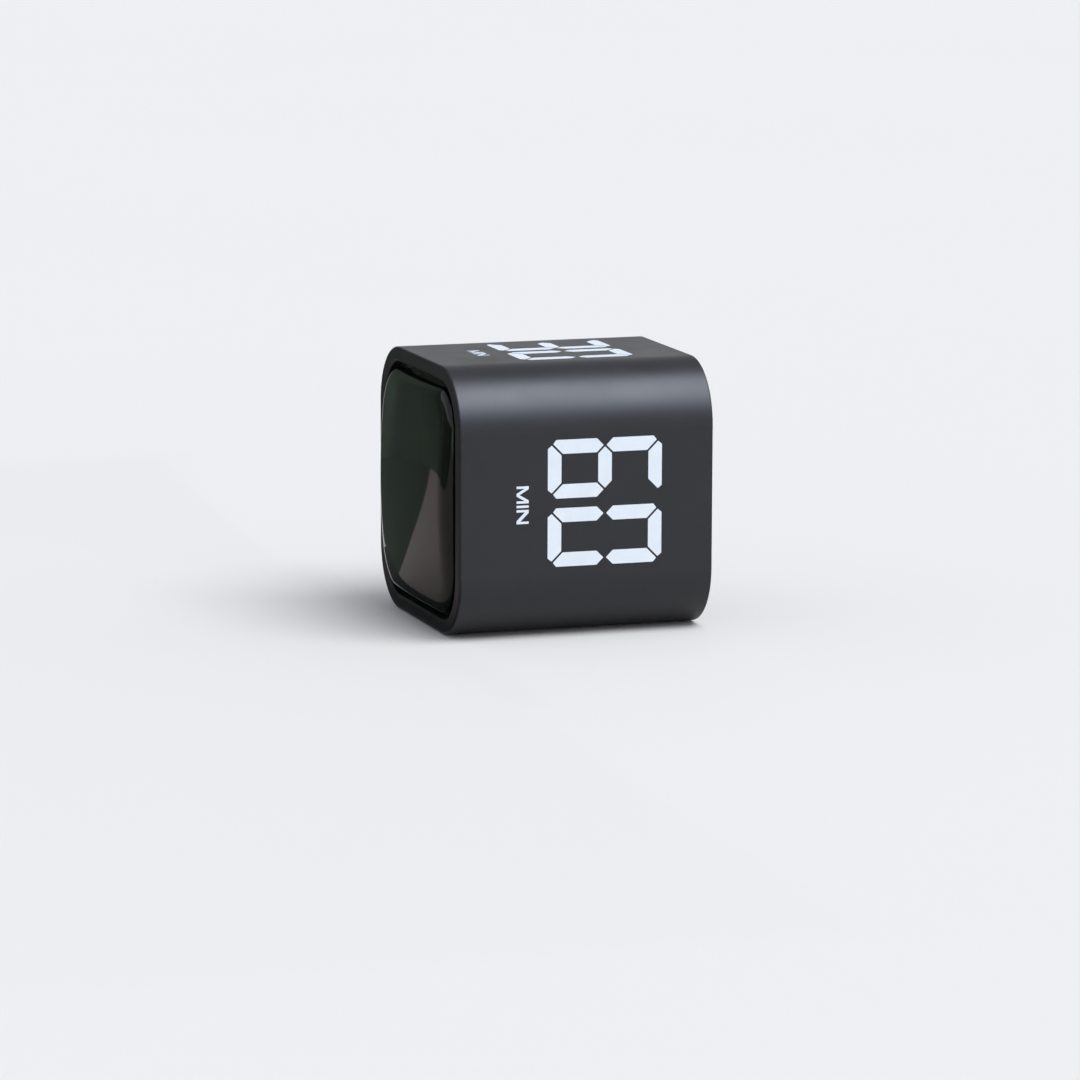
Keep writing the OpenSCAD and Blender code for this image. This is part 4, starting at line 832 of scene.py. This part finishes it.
for name, screw in screws["sets"].items():
    bm = bmesh.new()
    turned(bm, screwProfile(*screw["shank"], *screw["head"], screws), (0, 0, 0), 1, screws["sides"])
    pressCross(bm, *screw["head"], screws)
    if screw["way"] < 0:
        bmesh.ops.rotate(bm, cent=(0, 0, 0), matrix=quarterTurns(2, "Z"), verts=bm.verts)
    firstVerts, first = list(bm.verts), [*bm.verts, *bm.edges, *bm.faces]
    places = [(x, screw["seat"], z) for x, z in screw["holes"]]
    for place in places[1:]:
        copied = bmesh.ops.duplicate(bm, geom=first)["geom"]
        bmesh.ops.translate(bm, vec=place, verts=vertsOf(copied))
    bmesh.ops.translate(bm, vec=places[0], verts=firstVerts)
    finishSmall(bm, name, "plated_steel", slot="plated_steel", standsFor=[screw["node"]])
print("screws turned")


# marks over the switch: an open ring, one bar and two bars, for off, low and high
switchMarks = {
    "face": 30.4, "height": 54.0, "apart": 3.4, "proud": 0.02, "sunk": 0.005,
    "ring": 0.75, "ringSides": 36, "line": 0.26, "bar": (0.32, 1.5),
}


def makeMarks(settings):
    bm = bmesh.new()
    ring = bmesh.ops.create_circle(bm, cap_ends=True, radius=settings["ring"], segments=settings["ringSides"])
    face = ring["verts"][0].link_faces[0]
    innerFace(bm, face, settings["line"])
    bmesh.ops.delete(bm, geom=[face], context="FACES_ONLY")
    bmesh.ops.translate(bm, vec=(-settings["apart"], 0, 0), verts=bm.verts)
    wide, tall = settings["bar"]
    for x in (0, settings["apart"] - wide, settings["apart"] + wide):
        bar = bmesh.ops.create_grid(bm, x_segments=1, y_segments=1, size=0.5)["verts"]
        bmesh.ops.scale(bm, vec=(wide, tall, 1), verts=bar)
        bmesh.ops.translate(bm, vec=(x, 0, 0), verts=bar)
    raisePrint(bm, settings)
    # read from behind: to the reader's right is -X
    fromBehind = Matrix(((-1, 0, 0), (0, 0, 1), (0, 1, 0)))
    bmesh.ops.rotate(bm, cent=(0, 0, 0), matrix=fromBehind, verts=bm.verts)
    seat = (0, settings["face"] - settings["sunk"], settings["height"])
    bmesh.ops.translate(bm, vec=seat, verts=bm.verts)
    finishSmall(bm, "switchMarks", "print_white")


makeMarks(switchMarks)
print("marks printed")


# stage: pale floor, soft sky that is brightest at the horizon, a wide light from above, and a softbox
stage = {
    "floorDrop": 0.00005, "floorSize": 30.0, "floorColour": (0.80, 0.79, 0.78), "floorShade": 0.985,
    "horizon": (0.93, 0.94, 0.96), "zenith": (0.42, 0.435, 0.47), "zenithFrom": 0.55,
    "lights": {   # direction it comes from, its width in degrees, strength, colour, gloss only
        "overhead": ((0.40, 0.30, 0.87), 45, 2.3, (0.97, 0.985, 1.0), False),
        "softbox": ((0.50, 0.31, 0.80), 62, 2.75, (0.79, 0.905, 1.15), True),
    },
    # a dark screen and three mats in front and to the left, seen in reflections only, as a studio's flags
    # are, the near mat being painted shade:
    # points (x, y, height) of the screen, and each mat's corners and colour
    "screenPath": [(-0.25, -0.012, 0.30), (-0.24, -0.13, 0.26), (-0.18, -0.21, 0.12), (-0.06, -0.26, 0.09),
                   (0.1, -0.27, 0.09), (0.3, -0.24, 0.09)],
    "screenDark": (0.064, 0.072, 0.064), "screenGreen": (0.104, 0.142, 0.100),
    "mats": {
        # the near mat is painted shade: a dark strip on the floor just in front of the case, where its shadow
        # falls, seen only in reflections
        "nearShadeMat": ([(-0.085, -0.0285), (-0.085, -0.0363), (-0.05, -0.038), (0.10, -0.038), (0.10, -0.0285)],
                    (0.060, 0.062, 0.062)),
        "darkMat": ([(-0.05, -0.038), (-0.25, -0.150), (-0.25, -0.025), (-0.13, -0.034)],
                    (0.076, 0.096, 0.077)),
        "greyMat": ([(-0.05, -0.038), (0.3, -0.038), (0.3, -0.3), (-0.25, -0.3), (-0.25, -0.150)],
                    (0.42, 0.36, 0.34)),
    },
    "matLift": 0.0004, "matShade": 0.8,
    "folds": {"scale": 16, "stretch": (1, 1, 0.18), "where": (0.35, 0.65)},
}


def stagePiece(bm, name, recipe):
    mesh = bpy.data.meshes.new(name)
    bm.to_mesh(mesh)
    bm.free()
    piece = bpy.data.objects.new(name, mesh)
    bpy.context.scene.collection.objects.link(piece)
    mesh.materials.append(recipe.material)
    return piece


def shaded(colour, share):
    return [part * share for part in colour]


def makeFloor(settings):
    bm = bmesh.new()
    bmesh.ops.create_grid(bm, x_segments=1, y_segments=1, size=settings["floorSize"] / 2)
    bmesh.ops.translate(bm, vec=(0, 0, -settings["floorDrop"]), verts=bm.verts)
    recipe = Recipe("paleFloor", Metallic=0.0, Specular_IOR_Level=0.2)
    tone = recipe.noise(3, detail=2.0)
    pale = settings["floorColour"]
    colour = recipe.blend(tone, pale, shaded(pale, settings["floorShade"]))
    recipe.drive(Base_Color=colour, Roughness=tone * 0.05 + 0.75)
    stagePiece(bm, "floor", recipe)


def clothRecipe(name):
    return Recipe(name, Metallic=0.0, Roughness=0.9, Specular_IOR_Level=0.1)


def makeScreens(settings):
    recipe, folds = clothRecipe("darkScreen"), settings["folds"]
    folded = recipe.ramp(recipe.noise(folds["scale"], detail=2.0, stretch=folds["stretch"]), *folds["where"])
    recipe.drive(Base_Color=recipe.blend(folded, settings["screenDark"], settings["screenGreen"]))
    bm = bmesh.new()
    verts = [bm.verts.new((x, y, 0)) for x, y, height in settings["screenPath"]]
    edges = [bm.edges.new(pair) for pair in zip(verts, verts[1:])]
    raised = bmesh.ops.extrude_edge_only(bm, edges=edges)["geom"]
    for vert in vertsOf(raised):
        vert.co.z = next(height for x, y, height in settings["screenPath"] if abs(x - vert.co.x) < 1e-4)
    screens = [stagePiece(bm, "darkScreen", recipe)]
    for name, (corners, colour) in settings["mats"].items():
        recipe = clothRecipe(name)
        worn = shaded(colour, settings["matShade"])
        recipe.drive(Base_Color=recipe.blend(recipe.noise(9, detail=2.0), colour, worn))
        bm = bmesh.new()
        bm.faces.new([bm.verts.new((x, y, settings["matLift"])) for x, y in corners])
        screens.append(stagePiece(bm, name, recipe))
    for screen in screens:
        screen.visible_camera = screen.visible_diffuse = False
        screen.visible_transmission = screen.visible_shadow = False


def makeSky(settings):
    sky = Recipe("softSky", "worlds", Strength=1.0)
    up = sky.ramp(sky.axis("Z"), 0.0, settings["zenithFrom"])
    sky.drive(Color=sky.blend(up, settings["horizon"], settings["zenith"]))
    bpy.context.scene.world = sky.material


def makeLights(settings):
    for name, (comesFrom, width, strength, colour, glossOnly) in settings["lights"].items():
        data = bpy.data.lights.new(name, "SUN")
        data.angle, data.energy, data.color = math.radians(width), strength, colour
        light = bpy.data.objects.new(name, data)
        bpy.context.scene.collection.objects.link(light)
        light.rotation_mode = "QUATERNION"
        light.rotation_quaternion = Vector(comesFrom).to_track_quat("Z", "Y")
        if glossOnly:
            light.visible_diffuse = light.visible_transmission = False


makeFloor(stage)
makeScreens(stage)
makeSky(stage)
makeLights(stage)
bpy.context.scene.view_settings.view_transform = "Standard"
print("stage set")
